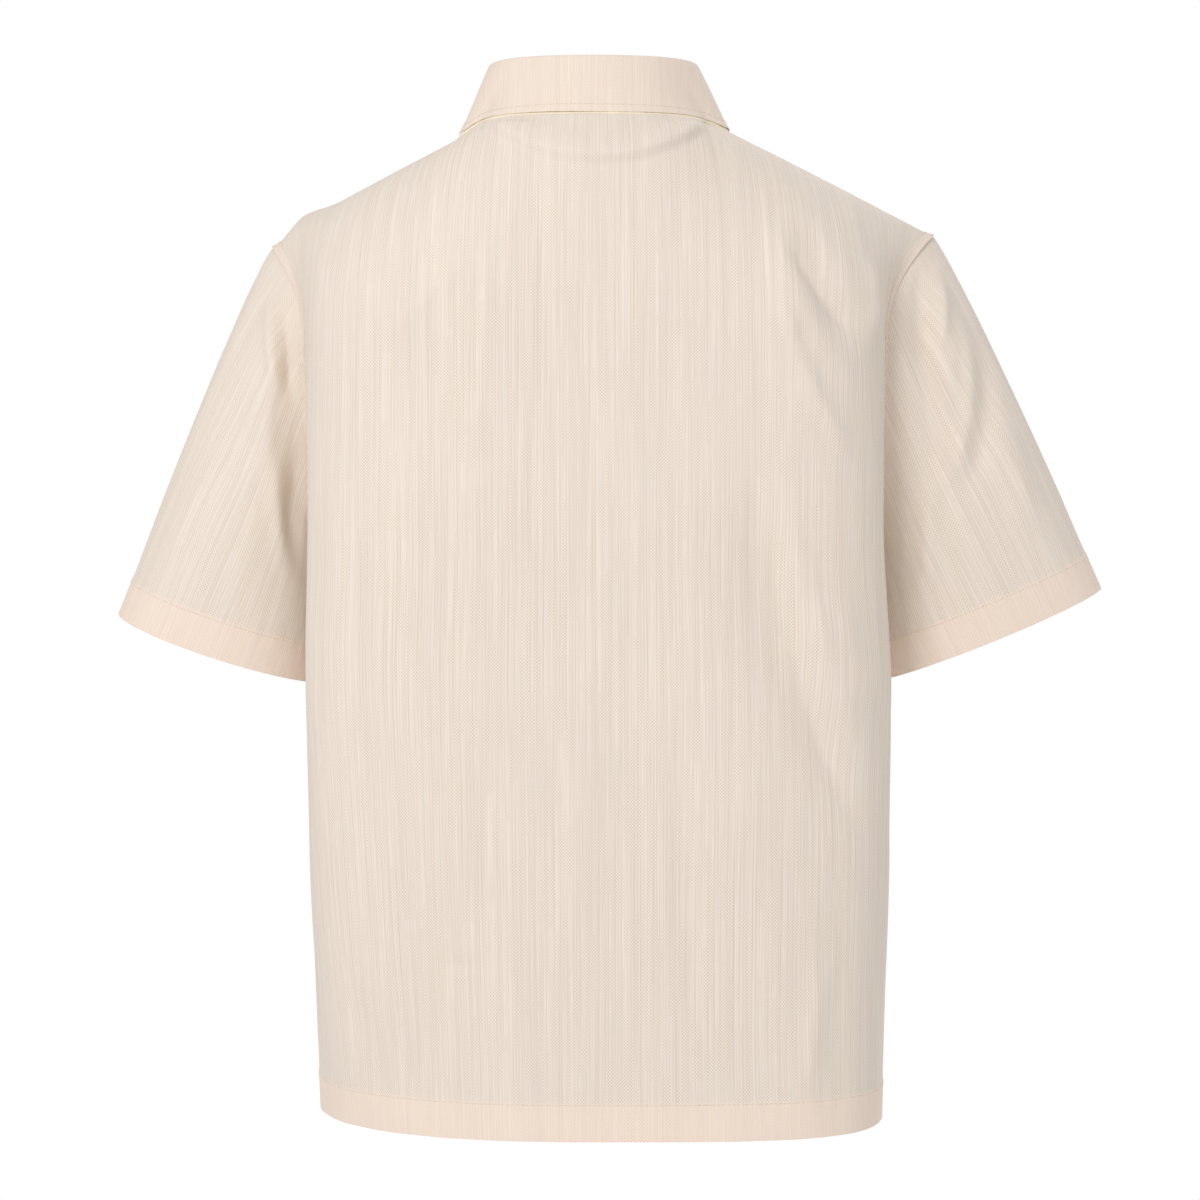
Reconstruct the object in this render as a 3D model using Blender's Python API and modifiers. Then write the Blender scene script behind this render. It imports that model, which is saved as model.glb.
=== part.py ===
"""Short-sleeve shirt, filled out as if worn, with nobody in it.

Metres, +Z up. The front faces -Y and the wearer's left is +X. The origin is at the neck, level with
the points where the shoulder seams meet the collar. Each cut piece is a wall of cloth draped over
the same hollow form: its outer skin is a grid, and its inner skin is that grid moved inwards.
"""

import math
from collections import namedtuple
from functools import lru_cache

import bmesh
import bpy
import numpy
from mathutils import Vector

# Sides and faces of the body
LEFT = 1
RIGHT = -1
BACK = 1
FRONT = -1

# Cloth
CLOTH_THICKNESS = 0.0012
HEM_THICKNESS = 0.0020
STAND_THICKNESS = 0.0014
COLLAR_THICKNESS = 0.0016
SEAM_GAP = 0.0003

# Body: heights of the underarm and the hem, and the cut width from a centre line to a side seam
UNDERARM_HEIGHT = -0.300
HEM_HEIGHT = -0.686
HEM_BAND = 0.025
HEM_STEP = 0.004
SIDE_WIDTH = 0.285
BACK_BLEND_HEIGHT = -0.170
FRONT_BLEND_HEIGHT = -0.200
TOP_DRIFT = 3

# Neck seam: half width, reach behind and before its centre, and how far its front drops
NECK_CENTRE = Vector((0.003, -0.002, -0.001))
NECK_HALF_WIDTH = 0.0735
NECK_BACK_REACH = 0.068
NECK_FRONT_REACH = 0.076
NECK_BACK_DROP = 0.002
NECK_FRONT_DROP = 0.060
NECK_FRONT_CURVE = 1.25
NECK_SHARE = 0.36
BACK_NECK_SLOPE = math.radians(6)
FRONT_NECK_SLOPE = math.radians(12)

# Shoulder seams: slope, depth and where it is reached, the reach of each tip, and the left one's sag
LEFT_SHOULDER_SLOPE = 0.520
RIGHT_SHOULDER_SLOPE = 0.4955
SHOULDER_FORWARD = -0.005
SHOULDER_FORWARD_SHARE = 0.5
LEFT_TIP_REACH = 0.2282
RIGHT_TIP_REACH = 0.2352
LEFT_TIP_DROP = 0.011
LEFT_DROP_START = 0.204
LEFT_SAG = 0.0045
LEFT_SAG_RISE = 6.0
LEFT_SAG_END = 0.86
LEFT_SAG_FALL = 5.0

# Armholes: cut width from the centre line where the armhole is narrowest
BACK_ARMHOLE_WIDTH = 0.242
FRONT_ARMHOLE_WIDTH = 0.236
DENT_REACH = 0.085

# Front edges: how far each passes the centre line, and where the lap eases into the panel
FRONT_LAP = 0.015
LAP_EASE = 0.050

# Sleeves: the turned hem, half the width of the cloth around, and how straight they leave the seam
CUFF_BAND = 0.027
HALF_SLEEVE_WIDTH = 0.25
SLEEVE_LEAVE = 0.3
UNDERARM_LEAN = math.radians(5)

# Directions in which a sleeve leaves its seam, outwards and up: at the top and at the underarm, and
# what is added to them at its back and front, with the share that goes backwards or forwards
LEAVE_TOP = (0.60, -0.80)
LEAVE_UNDERARM = (0.70, -0.71)
LEAVE_SIDE = (0.25, 0.35)
LEAVE_SIDE_DEPTH = 0.10

# Collar: the stand's height behind and at the sides, its lean, and the fall's roll
STAND_HEIGHT = 0.0305
STAND_SIDE_RISE = 0.0035
STAND_LEAN = 0.003
STAND_LAP = FRONT_LAP / SIDE_WIDTH / NECK_SHARE * math.pi / 2.0
LAP_START = 2.6 * STAND_LAP
LAP_RISE = 1.5 * STAND_LAP
ROLL_RADIUS = 0.0026
ROLL_SHARE = 0.2
COLLAR_END = math.radians(171)
COLLAR_SIDE = math.radians(90)
COLLAR_SIDE_COLUMN = 0.442
COLLAR_POINT_COLUMN = 0.20
COLLAR_BACK_ROW = 0.17
COLLAR_POINT_ROW = 0.42
COLLAR_CLEARANCE = 0.0015

# Buttons
BUTTON_RADIUS = 0.0057
BUTTON_DEPTH = 0.0024
BUTTON_EDGE = 0.0005
BUTTON_SEAT = 0.0005
BUTTON_SIDES = 20
FRONT_BUTTONS = 6
FIRST_BUTTON_DROP = 0.038
BUTTON_SPACING = 0.088

# Grid cells along each stretch of a piece
NECK_CELLS = 7
SHOULDER_CELLS = 10
TOP_CELLS = 6
ARMHOLE_CELLS = 5
SKIRT_CELLS = 14
SLEEVE_CELLS = 10
FALL_ROLL_CELLS = 3
FALL_CELLS = 4

# Sections of the body, top to bottom: the half widths at the wearer's left and right, the depth
# behind and before the centre, how square each corner is, and how far the arms dent the sides
Section = namedtuple("Section", "height left right back front left_corner right_corner dent")
SECTIONS = (
    Section(-0.100, 0.2000, 0.1965, 0.122, 0.112, 4.2, 4.0, 0.000),
    Section(-0.170, 0.2000, 0.1965, 0.124, 0.115, 4.4, 4.0, 0.000),
    Section(-0.240, 0.1995, 0.1965, 0.128, 0.121, 4.4, 4.2, 0.006),
    Section(-0.300, 0.2000, 0.1970, 0.132, 0.126, 4.2, 4.2, 0.016),
    Section(-0.380, 0.2030, 0.2020, 0.135, 0.128, 3.9, 4.0, 0.028),
    Section(-0.460, 0.2025, 0.2025, 0.138, 0.128, 3.5, 3.8, 0.020),
    Section(-0.540, 0.2005, 0.2010, 0.141, 0.127, 3.1, 3.6, 0.010),
    Section(-0.620, 0.1955, 0.1965, 0.144, 0.126, 2.7, 3.6, 0.002),
    Section(-0.686, 0.1925, 0.1935, 0.147, 0.125, 2.35, 3.8, 0.000),
)

# Sleeve hems: the outer corner of each, the slope of the hem, half its width and half its depth,
# how far its back edge hangs below its front edge, and the lean of the sleeve from upright
Cuff = namedtuple("Cuff", "reach forward height slope half_width half_depth tilt lean")
CUFFS = {
    LEFT: Cuff(0.3360, -0.008, -0.3460, math.radians(18.1), 0.077, 0.0575,
               math.radians(7), math.radians(22.6)),
    RIGHT: Cuff(0.3530, -0.008, -0.3285, math.radians(22.2), 0.086, 0.0460,
                math.radians(5), math.radians(24.7)),
}

# Largest folds of the body, each from an upper to a lower end: across is +X for the wearer's left,
# bend moves its middle towards the centre line, and a negative depth is a trough
Fold = namedtuple("Fold", "face upper_x upper_z lower_x lower_z bend width depth")
FOLDS = (
    Fold(BACK, -0.108, -0.105, -0.182, -0.255, 0.016, 0.018, 0.0045),
    Fold(BACK, -0.120, -0.095, -0.178, -0.175, 0.004, 0.014, -0.0030),
    Fold(BACK, -0.096, -0.220, -0.186, -0.520, 0.020, 0.030, -0.0060),
    Fold(BACK, -0.140, -0.330, -0.186, -0.420, 0.000, 0.024, 0.0030),
    Fold(BACK, -0.070, -0.470, -0.100, -0.690, 0.000, 0.030, -0.0025),
    Fold(BACK, 0.095, -0.500, 0.120, -0.690, 0.000, 0.032, -0.0030),
    Fold(FRONT, 0.100, -0.110, 0.180, -0.250, -0.014, 0.020, 0.0040),
    Fold(FRONT, -0.105, -0.115, -0.180, -0.240, 0.012, 0.020, 0.0040),
    Fold(FRONT, 0.105, -0.300, 0.150, -0.690, -0.010, 0.030, -0.0045),
    Fold(FRONT, -0.095, -0.340, -0.145, -0.690, 0.012, 0.030, -0.0045),
)

# Folds of the sleeves: around runs from 0 at the top edge to 1 at the underarm, behind when it is
# positive, and along runs from 0 at the armhole to 1 at the hem
SleeveFold = namedtuple("SleeveFold", "side around_top along_top around_low along_low width depth")
SLEEVE_FOLDS = (
    SleeveFold(LEFT, 0.34, 0.10, 0.56, 0.62, 0.022, 0.0035),
    SleeveFold(LEFT, 0.66, 0.10, 0.70, 0.70, 0.020, -0.0040),
    SleeveFold(RIGHT, 0.16, 0.10, 0.40, 0.55, 0.020, 0.0045),
    SleeveFold(RIGHT, 0.34, 0.08, 0.62, 0.80, 0.022, -0.0045),
    SleeveFold(LEFT, -0.36, 0.10, -0.60, 0.70, 0.022, 0.0035),
    SleeveFold(RIGHT, -0.34, 0.10, -0.58, 0.70, 0.022, 0.0035),
)

Colour = namedtuple("Colour", "red green blue roughness")
CLOTH_COLOUR = Colour(0.80, 0.69, 0.59, 0.85)
COLLAR_COLOUR = Colour(0.84, 0.71, 0.61, 0.82)
BUTTON_COLOUR = Colour(0.82, 0.74, 0.62, 0.35)

# How a fold dies away across its width and towards its ends, and towards the seams
FOLD_FALLOFF = 1.5
FOLD_REACH = 2.0
BODY_FOLD_ENDS = 3.0
SLEEVE_FOLD_ENDS = 2.5
SIDE_CALM = 8.0
TOP_CALM = 2.5

# Surface steps: for the directions of a surface, for a section's outline and for a search
SURFACE_STEP = 0.002
CURVE_SAMPLES = 160
HALVINGS = 40
SMALLEST_SPREAD = 0.6
SHARP_ANGLE = math.radians(50)


def smooth(value):
    """Ease from 0 to 1 with level ends."""
    value = min(max(value, 0.0), 1.0)
    return value * value * (3.0 - 2.0 * value)


def blend(first, second, share):
    """Mix two numbers or vectors."""
    return first + (second - first) * share


def section_value(name, height):
    """Read one column of the section table at a height, as a smooth curve through its rows."""
    heights = [section.height for section in SECTIONS]
    values = [getattr(section, name) for section in SECTIONS]
    last = len(SECTIONS) - 2
    row = 0
    while row < last and height < heights[row + 1]:
        row += 1
    share = (height - heights[row]) / (heights[row + 1] - heights[row])
    share = min(max(share, 0.0), 1.0)
    span = heights[row + 1] - heights[row]
    slope_in = table_slope(heights, values, row) * span
    slope_out = table_slope(heights, values, row + 1) * span
    return hermite(values[row], slope_in, values[row + 1], slope_out, share)


def table_slope(keys, values, row):
    """Slope of a smooth curve through a table's rows, at one of them."""
    before = max(row - 1, 0)
    after = min(row + 1, len(keys) - 1)
    return (values[after] - values[before]) / (keys[after] - keys[before])


def hermite(start, leave, end, arrive, share):
    """Cubic curve between two numbers or vectors with given directions at its ends."""
    square = share * share
    cube = square * share
    return (
        start * (2.0 * cube - 3.0 * square + 1.0)
        + leave * (cube - 2.0 * square + share)
        + end * (3.0 * square - 2.0 * cube)
        + arrive * (cube - square)
    )


@lru_cache(maxsize=None)
def section_curve(side, face, height):
    """Quarter of the body's outline at a height, from its centre line to its side seam.

    Returns the lengths along it, from 0 to 1, and the across and depth values at them.
    """
    half_width = section_value("left" if side == LEFT else "right", height)
    depth = section_value("back" if face == BACK else "front", height)
    corner = section_value("left_corner" if side == LEFT else "right_corner", height)
    dent = section_value("dent", height)
    angles = numpy.linspace(0.0, math.pi / 2.0, CURVE_SAMPLES)
    radii = (
        (numpy.cos(angles) / depth) ** corner + (numpy.sin(angles) / half_width) ** corner
    ) ** (-1.0 / corner)
    across = radii * numpy.sin(angles)
    outward = radii * numpy.cos(angles)
    nearness = numpy.clip(1.0 - outward / DENT_REACH, 0.0, 1.0)
    across = across - dent * nearness * nearness * (3.0 - 2.0 * nearness) * (across > depth / 2.0)
    steps = numpy.hypot(numpy.diff(across), numpy.diff(outward))
    lengths = numpy.concatenate(([0.0], numpy.cumsum(steps)))
    return lengths / lengths[-1], across, outward


def wall_point(side, face, share, height):
    """Point of the upright wall, at a share of the way from the centre line to the side seam."""
    lengths, across, outward = section_curve(side, face, height)
    x = float(numpy.interp(share, lengths, across))
    y = float(numpy.interp(share, lengths, outward))
    return Vector((side * x, face * y, height))


def neck_point(angle):
    """Point of the neck seam: 0 is the middle of the back and half a turn the middle front."""
    reach = NECK_BACK_REACH
    drop = NECK_BACK_DROP * math.cos(angle)
    if math.cos(angle) < 0.0:
        reach = NECK_FRONT_REACH
        drop = NECK_FRONT_DROP * (-math.cos(angle)) ** NECK_FRONT_CURVE
    offset = Vector((NECK_HALF_WIDTH * math.sin(angle), reach * math.cos(angle), -drop))
    return NECK_CENTRE + offset


def shoulder_point(side, share):
    """Point of a shoulder seam, from the neck at 0 to the armhole at 1."""
    start = neck_point(side * math.pi / 2.0)
    tip_reach = LEFT_TIP_REACH if side == LEFT else RIGHT_TIP_REACH
    across = blend(abs(start.x), tip_reach, share)
    slope = LEFT_SHOULDER_SLOPE if side == LEFT else RIGHT_SHOULDER_SLOPE
    drop = slope * (across - abs(start.x))
    if side == LEFT:
        drop += LEFT_TIP_DROP * smooth((across - LEFT_DROP_START) / (tip_reach - LEFT_DROP_START))
        sag = smooth(share * LEFT_SAG_RISE) * smooth((LEFT_SAG_END - share) * LEFT_SAG_FALL)
        drop += LEFT_SAG * sag
    depth = blend(start.y, SHOULDER_FORWARD, min(share / SHOULDER_FORWARD_SHARE, 1.0))
    return Vector((side * across, depth, start.z - drop))


def top_point(side, face, column):
    """Upper edge of a body panel: the neck seam, then the shoulder seam."""
    if column <= NECK_SHARE:
        turn = math.pi / 2.0 * column / NECK_SHARE
        angle = turn if face == BACK else math.pi - turn
        return neck_point(side * angle)
    return shoulder_point(side, (column - NECK_SHARE) / (1.0 - NECK_SHARE))


def armhole_share(face, row):
    """Share of the cut width, from centre to side seam, that a body panel has at a row."""
    narrow = BACK_ARMHOLE_WIDTH if face == BACK else FRONT_ARMHOLE_WIDTH
    narrow /= SIDE_WIDTH
    if row <= 1.0:
        return narrow
    if row >= 2.0:
        return 1.0
    return 1.0 - (1.0 - narrow) * math.cos(math.pi / 2.0 * (row - 1.0))


def plain_body_point(side, face, column, row):
    """Point of the body before its folds.

    A column runs from 0 at the centre line to 1 at the armhole or side seam. A row runs from 0 at
    the top edge through 1 at the shoulder blades and 2 at the underarm to 3 at the hem.
    """
    if column < 0.0:
        side = -side
        column = -column
    blend_height = BACK_BLEND_HEIGHT if face == BACK else FRONT_BLEND_HEIGHT
    share = column * armhole_share(face, row)
    if row > 2.0:
        height = blend(UNDERARM_HEIGHT, HEM_HEIGHT, row - 2.0)
        return wall_point(side, face, share, height)
    if row > 1.0:
        fall = math.sin(math.pi / 2.0 * (row - 1.0))
        height = blend(blend_height, UNDERARM_HEIGHT, fall)
        return wall_point(side, face, share, height)
    top = top_point(side, face, column)
    foot = wall_point(side, face, share, blend_height)
    neck_slope = BACK_NECK_SLOPE if face == BACK else FRONT_NECK_SLOPE
    start = neck_slope * (1.0 - smooth(column / NECK_SHARE))
    angle = blend(start, math.pi / 2.0, row)
    lift = math.cos(angle) / math.cos(start)
    swing = (1.0 - math.sin(angle)) / (1.0 - math.sin(start))
    drift = (1.0 - row * row) ** TOP_DRIFT
    return Vector((
        blend(foot.x, top.x, drift),
        blend(foot.y, top.y, swing),
        blend(foot.z, top.z, lift),
    ))


def fold_depth(point, face):
    """How far the folds move a point of the body outwards."""
    total = 0.0
    for fold in FOLDS:
        if fold.face != face:
            continue
        run = Vector((fold.lower_x - fold.upper_x, fold.lower_z - fold.upper_z))
        place = Vector((point.x - fold.upper_x, point.z - fold.upper_z))
        along = place.dot(run) / run.length_squared
        if not 0.0 < along < 1.0:
            continue
        inward = -1.0 if fold.upper_x + fold.lower_x > 0.0 else 1.0
        bend = fold.bend * inward * 4.0 * along * (1.0 - along)
        offset = place.x - run.x * along - bend
        aside = abs(offset) * abs(run.y) / run.length
        if aside < FOLD_REACH * fold.width:
            ends = smooth(along * BODY_FOLD_ENDS) * smooth((1.0 - along) * BODY_FOLD_ENDS)
            total += fold.depth * ends * math.exp(-((aside / fold.width) ** 2) * FOLD_FALLOFF)
    return total


def seam_calm(column, row):
    """Share of a fold's depth that is left near the seams, so that the seams stay in place."""
    return smooth((1.0 - abs(column)) * SIDE_CALM) * smooth(row * TOP_CALM)


def surface_directions(surface, facing, column, row):
    """Unit directions of a surface across its columns and along its rows, and its outward normal.

    Facing is 1 where across times along points out of the garment, and -1 where it points in.
    """
    step = SURFACE_STEP
    across = surface(column + step, row) - surface(column - step, row)
    along = surface(column, row + step) - surface(column, row - step)
    normal = across.cross(along).normalized() * facing
    return across.normalized(), along.normalized(), normal


def body_normal(side, face, column, row):
    """Outward normal of the body before its folds."""
    def surface(near_column, near_row):
        return plain_body_point(side, face, near_column, near_row)
    return surface_directions(surface, side * face, column, row)[2]


def body_point(side, face, column, row):
    """Point of the body's outer skin, folds included."""
    point = plain_body_point(side, face, column, row)
    depth = fold_depth(point, face) * seam_calm(column, row)
    if depth == 0.0:
        return point
    return point + body_normal(side, face, column, row) * depth


def lap_depth(column, row):
    """How far the left front stands off the right front."""
    width = column * SIDE_WIDTH
    return (body_thickness(row) + SEAM_GAP) * (1.0 - smooth((width - FRONT_LAP) / LAP_EASE))


def left_front_point(column, row):
    """Point of the left front, which lies on the right front at the middle."""
    point = body_point(LEFT, FRONT, column, row)
    depth = lap_depth(column, row)
    if depth == 0.0:
        return point
    return point + body_normal(LEFT, FRONT, column, row) * depth


def armhole_point(side, around):
    """Point of an armhole seam: around runs from 0 at the shoulder to 1 at the underarm, behind
    when it is positive and in front when it is negative."""
    face = BACK if around >= 0.0 else FRONT
    return plain_body_point(side, face, 1.0, 2.0 * abs(around))


def cuff_axis(side, around):
    """Direction in which a sleeve's turned hem runs down, more upright next to the body."""
    cuff = CUFFS[side]
    lean = blend(cuff.lean, UNDERARM_LEAN, smooth(abs(around)))
    axis = Vector((side * math.sin(lean), -math.sin(cuff.tilt), -math.cos(lean)))
    return axis.normalized()


def cuff_point(side, around):
    """Point of a sleeve's hem."""
    cuff = CUFFS[side]
    outward = Vector((side * math.cos(cuff.slope), 0.0, math.sin(cuff.slope)))
    backward = Vector((0.0, math.cos(cuff.tilt), -math.sin(cuff.tilt)))
    corner = Vector((side * cuff.reach, cuff.forward, cuff.height))
    centre = corner - outward * cuff.half_width
    turn = math.pi * around
    return (
        centre
        + outward * (cuff.half_width * math.cos(turn))
        + backward * (cuff.half_depth * math.sin(turn))
    )


def plain_sleeve_point(side, around, along):
    """Point of a sleeve before its folds.

    Along runs from 0 at the armhole through 1 at the top of the turned hem to 2 at its edge.
    """
    hem = cuff_point(side, around)
    axis = cuff_axis(side, around)
    end = hem - axis * CUFF_BAND
    if along > 1.0:
        return blend(end, hem, along - 1.0)
    start = armhole_point(side, around)
    middle = math.sin(math.pi * min(abs(around), 1.0))
    below = smooth(abs(around))
    leave = Vector((
        side * (blend(LEAVE_TOP[0], LEAVE_UNDERARM[0], below) + LEAVE_SIDE[0] * middle),
        math.copysign(LEAVE_SIDE_DEPTH * middle, around),
        blend(LEAVE_TOP[1], LEAVE_UNDERARM[1], below) + LEAVE_SIDE[1] * middle,
    )).normalized()
    length = (end - start).length
    return hermite(start, leave * length * SLEEVE_LEAVE, end, axis * length, along)


def sleeve_fold_depth(side, around, along):
    """How far the folds move a point of a sleeve outwards."""
    total = 0.0
    for fold in SLEEVE_FOLDS:
        if fold.side != side or (fold.around_top > 0.0) != (around > 0.0):
            continue
        share = (along - fold.along_top) / (fold.along_low - fold.along_top)
        if not 0.0 < share < 1.0:
            continue
        aside = abs(around - blend(fold.around_top, fold.around_low, share)) * HALF_SLEEVE_WIDTH
        ends = smooth(share * SLEEVE_FOLD_ENDS) * smooth((1.0 - share) * SLEEVE_FOLD_ENDS)
        total += fold.depth * ends * math.exp(-((aside / fold.width) ** 2) * FOLD_FALLOFF)
    return total


def sleeve_point(side, around, along):
    """Point of a sleeve's outer skin, folds included."""
    point = plain_sleeve_point(side, around, along)
    depth = sleeve_fold_depth(side, around, along)
    if depth == 0.0:
        return point

    def surface(near_around, near_along):
        return plain_sleeve_point(side, near_around, near_along)
    normal = surface_directions(surface, -side, around, along)[2]
    return point + normal * depth


@lru_cache(maxsize=None)
def armhole_pull(side, around):
    """How far each piece draws back from an armhole seam, so that the two stay a gap apart.

    It grows with how sharply the two pieces meet, and with how far their inner skins lean together.
    """
    step = SURFACE_STEP
    face = BACK if around >= 0.0 else FRONT
    row = 2.0 * abs(around)
    seam = plain_body_point(side, face, 1.0, row)
    body = (plain_body_point(side, face, 1.0 - step, row) - seam).normalized()
    sleeve = (plain_sleeve_point(side, around, step) - seam).normalized()
    spread = body - sleeve

    def surface(near_around, near_along):
        return plain_sleeve_point(side, near_around, near_along)
    sleeve_normal = surface_directions(surface, -side, around, 0.0)[2]
    lean = (body_normal(side, face, 1.0, row) - sleeve_normal).dot(spread.normalized())
    closing = max(lean, 0.0) * CLOTH_THICKNESS
    return (SEAM_GAP + closing) / max(spread.length, SMALLEST_SPREAD)


def stand_point(share, row):
    """Point of the collar stand's outer skin.

    Share runs from -1 at its end under the lap to 1 at its end over it, and row from 0 at the
    stand's top edge to 1 at the neck seam.
    """
    angle = share * (math.pi + STAND_LAP)
    outward = loop_outward(angle)
    lap = smooth((angle - math.pi + LAP_START) / LAP_RISE)
    base = neck_point(angle) + outward * (STAND_THICKNESS + SEAM_GAP) * lap
    base.z += SEAM_GAP
    if angle > math.pi / 2.0:
        column = (math.pi - angle) / (math.pi / 2.0) * NECK_SHARE
        base.z += lap_depth(column, 0.0) * row
    height = STAND_HEIGHT + STAND_SIDE_RISE * math.sin(angle) ** 2
    lift = 1.0 - row
    return base + Vector((0.0, 0.0, height * lift)) - outward * STAND_LEAN * lift


def loop_outward(angle):
    """Level direction out of the neck loop."""
    reach = NECK_BACK_REACH if math.cos(angle) > 0.0 else NECK_FRONT_REACH
    normal = Vector((math.sin(angle) / NECK_HALF_WIDTH, math.cos(angle) / reach, 0.0))
    return normal.normalized()


def collar_edge(share):
    """Point of the fall's lower edge, which rests just off the back, the shoulders and the fronts.

    Share runs from 0 at the middle of the back to 1 at a collar point, on the left when positive.
    """
    side = LEFT if share >= 0.0 else RIGHT
    share = abs(share)
    side_share = COLLAR_SIDE / COLLAR_END
    if share <= side_share:
        turn = math.pi / 2.0 * share / side_share
        face = BACK
        column = COLLAR_SIDE_COLUMN * math.sin(turn)
        row = COLLAR_BACK_ROW * math.cos(turn)
    else:
        turn = math.pi / 2.0 * (share - side_share) / (1.0 - side_share)
        face = FRONT
        column = blend(COLLAR_POINT_COLUMN, COLLAR_SIDE_COLUMN, math.cos(turn))
        row = COLLAR_POINT_ROW * math.sin(turn)
    point = plain_body_point(side, face, column, row)
    lift = COLLAR_THICKNESS + COLLAR_CLEARANCE
    if side == LEFT and face == FRONT:
        lift += lap_depth(column, row)
    return point + body_normal(side, face, column, row) * lift


def collar_point(share, row):
    """Point of the fall's outer skin.

    Share runs from -1 to 1 around the neck, and row from 0 at the stand's top edge, over the
    roll, to 1 at the lower edge. The roll is wider where it passes over the stand's lap.
    """
    angle = share * COLLAR_END
    outward = loop_outward(angle)
    over_lap = smooth((LAP_START - math.pi - angle) / STAND_LAP)
    radius = ROLL_RADIUS + STAND_THICKNESS * over_lap
    top = stand_point(angle / (math.pi + STAND_LAP), 0.0)
    centre = top + outward * (radius - COLLAR_THICKNESS) + Vector((0.0, 0.0, SEAM_GAP))
    edge = collar_edge(share)
    reach = edge - centre
    level = reach.dot(outward)
    roll_end = math.pi / 2.0 - math.atan2(-reach.z, level)
    roll_share = min(row / ROLL_SHARE, 1.0)
    turn = blend(math.pi, roll_end, roll_share)
    skin = centre + (outward * math.cos(turn) + Vector((0.0, 0.0, math.sin(turn)))) * radius
    if row <= ROLL_SHARE:
        return skin
    return blend(skin, edge, (row - ROLL_SHARE) / (1.0 - ROLL_SHARE))


def row_at_height(side, face, column, height):
    """Row of a body panel that reaches a height, found by halving."""
    upper = 0.0
    lower = 3.0
    for _ in range(HALVINGS):
        middle = (upper + lower) / 2.0
        if plain_body_point(side, face, column, middle).z > height:
            upper = middle
        else:
            lower = middle
    return upper


def even_steps(start, end, cells):
    """Evenly spaced values from start to end, both included."""
    return [blend(start, end, cell / cells) for cell in range(cells + 1)]


def half_columns():
    """Columns of a body panel from its centre line to its side, the same on every panel."""
    neck = even_steps(0.0, NECK_SHARE, NECK_CELLS)
    shoulder = even_steps(NECK_SHARE, 1.0, SHOULDER_CELLS)
    return neck + shoulder[1:]


def front_columns():
    """Columns of a front, with one under each end of the fall and two in the lap."""
    tie = (math.pi - COLLAR_END) / (math.pi / 2.0) * NECK_SHARE
    return [-FRONT_LAP / SIDE_WIDTH, -tie, 0.0, tie] + half_columns()[1:]


def collar_angles():
    """Angles of the fall's columns on the left, the same as those of the panels' neck edges."""
    return even_steps(0.0, math.pi, 2 * NECK_CELLS)[:-1] + [COLLAR_END]


def mirrored(values):
    """Values from a middle one out to one side, repeated on the other side."""
    return [-value for value in reversed(values)] + values[1:]


def body_rows():
    """Rows of a body panel from its top edge to its hem, two of them where the hem turns up."""
    hem_row = 3.0 - HEM_BAND / (UNDERARM_HEIGHT - HEM_HEIGHT)
    top = even_steps(0.0, 1.0, TOP_CELLS)
    armhole = even_steps(1.0, 2.0, ARMHOLE_CELLS)
    skirt = even_steps(2.0, hem_row, SKIRT_CELLS)
    return top + armhole[1:] + skirt[1:] + [hem_row + HEM_STEP, 3.0]


def body_thickness(row):
    """Wall thickness of a body panel at a row."""
    hem_row = 3.0 - HEM_BAND / (UNDERARM_HEIGHT - HEM_HEIGHT)
    return HEM_THICKNESS if row > hem_row + HEM_STEP / 2.0 else CLOTH_THICKNESS


def body_pull(side, face, column, row):
    """How far a body panel's edge draws back from its seams, across and along the cloth."""
    across = 0.0
    along = 0.0
    if abs(column) == 1.0:
        across = SEAM_GAP / 2.0
        if row <= 2.0:
            edge_side = side if column > 0.0 else -side
            across = armhole_pull(edge_side, face * row / 2.0)
        across = -math.copysign(across, column)
    if row == 0.0:
        along = SEAM_GAP / 2.0
    return across, along


def sleeve_pull(side, around, along):
    """How far a sleeve's edge draws back from the armhole seam, across and along the cloth."""
    if along == 0.0:
        return 0.0, armhole_pull(side, around)
    return 0.0, 0.0


def no_pull(column, row):
    """Edge that lies at its true place."""
    return 0.0, 0.0


def cloth_wall(surface, facing, columns, rows, thickness, pull, closed=False):
    """Closed wall of cloth on a surface, as a mesh.

    The wall is a flat grid that is rolled up where closed, given a second skin by an extrusion,
    and then moved onto the surface: the outer skin on it, and the inner skin a thickness inside.
    """
    sheet = bmesh.new()
    bmesh.ops.create_grid(sheet, x_segments=len(columns) - 1, y_segments=len(rows) - 1, size=0.5)
    column_layer = sheet.verts.layers.int.new("column")
    row_layer = sheet.verts.layers.int.new("row")
    for vertex in sheet.verts:
        vertex[column_layer] = round((vertex.co.x + 0.5) * (len(columns) - 1))
        vertex[row_layer] = round((vertex.co.y + 0.5) * (len(rows) - 1))
    if closed:
        first = {v[row_layer]: v for v in sheet.verts if v[column_layer] == 0}
        last = [v for v in sheet.verts if v[column_layer] == len(columns) - 1]
        bmesh.ops.weld_verts(sheet, targetmap={v: first[v[row_layer]] for v in last})
    skin = bmesh.ops.extrude_face_region(sheet, geom=sheet.faces[:], use_keep_orig=True)
    inner = {item for item in skin["geom"] if isinstance(item, bmesh.types.BMVert)}
    for vertex in sheet.verts:
        column = columns[vertex[column_layer]]
        row = rows[vertex[row_layer]]
        across, along, normal = surface_directions(surface, facing, column, row)
        across_pull, along_pull = pull(column, row)
        place = surface(column, row) + across * across_pull + along * along_pull
        if vertex in inner:
            place = place - normal * thickness(row)
        vertex.co = place
    bmesh.ops.recalc_face_normals(sheet, faces=sheet.faces[:])
    return sheet


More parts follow.
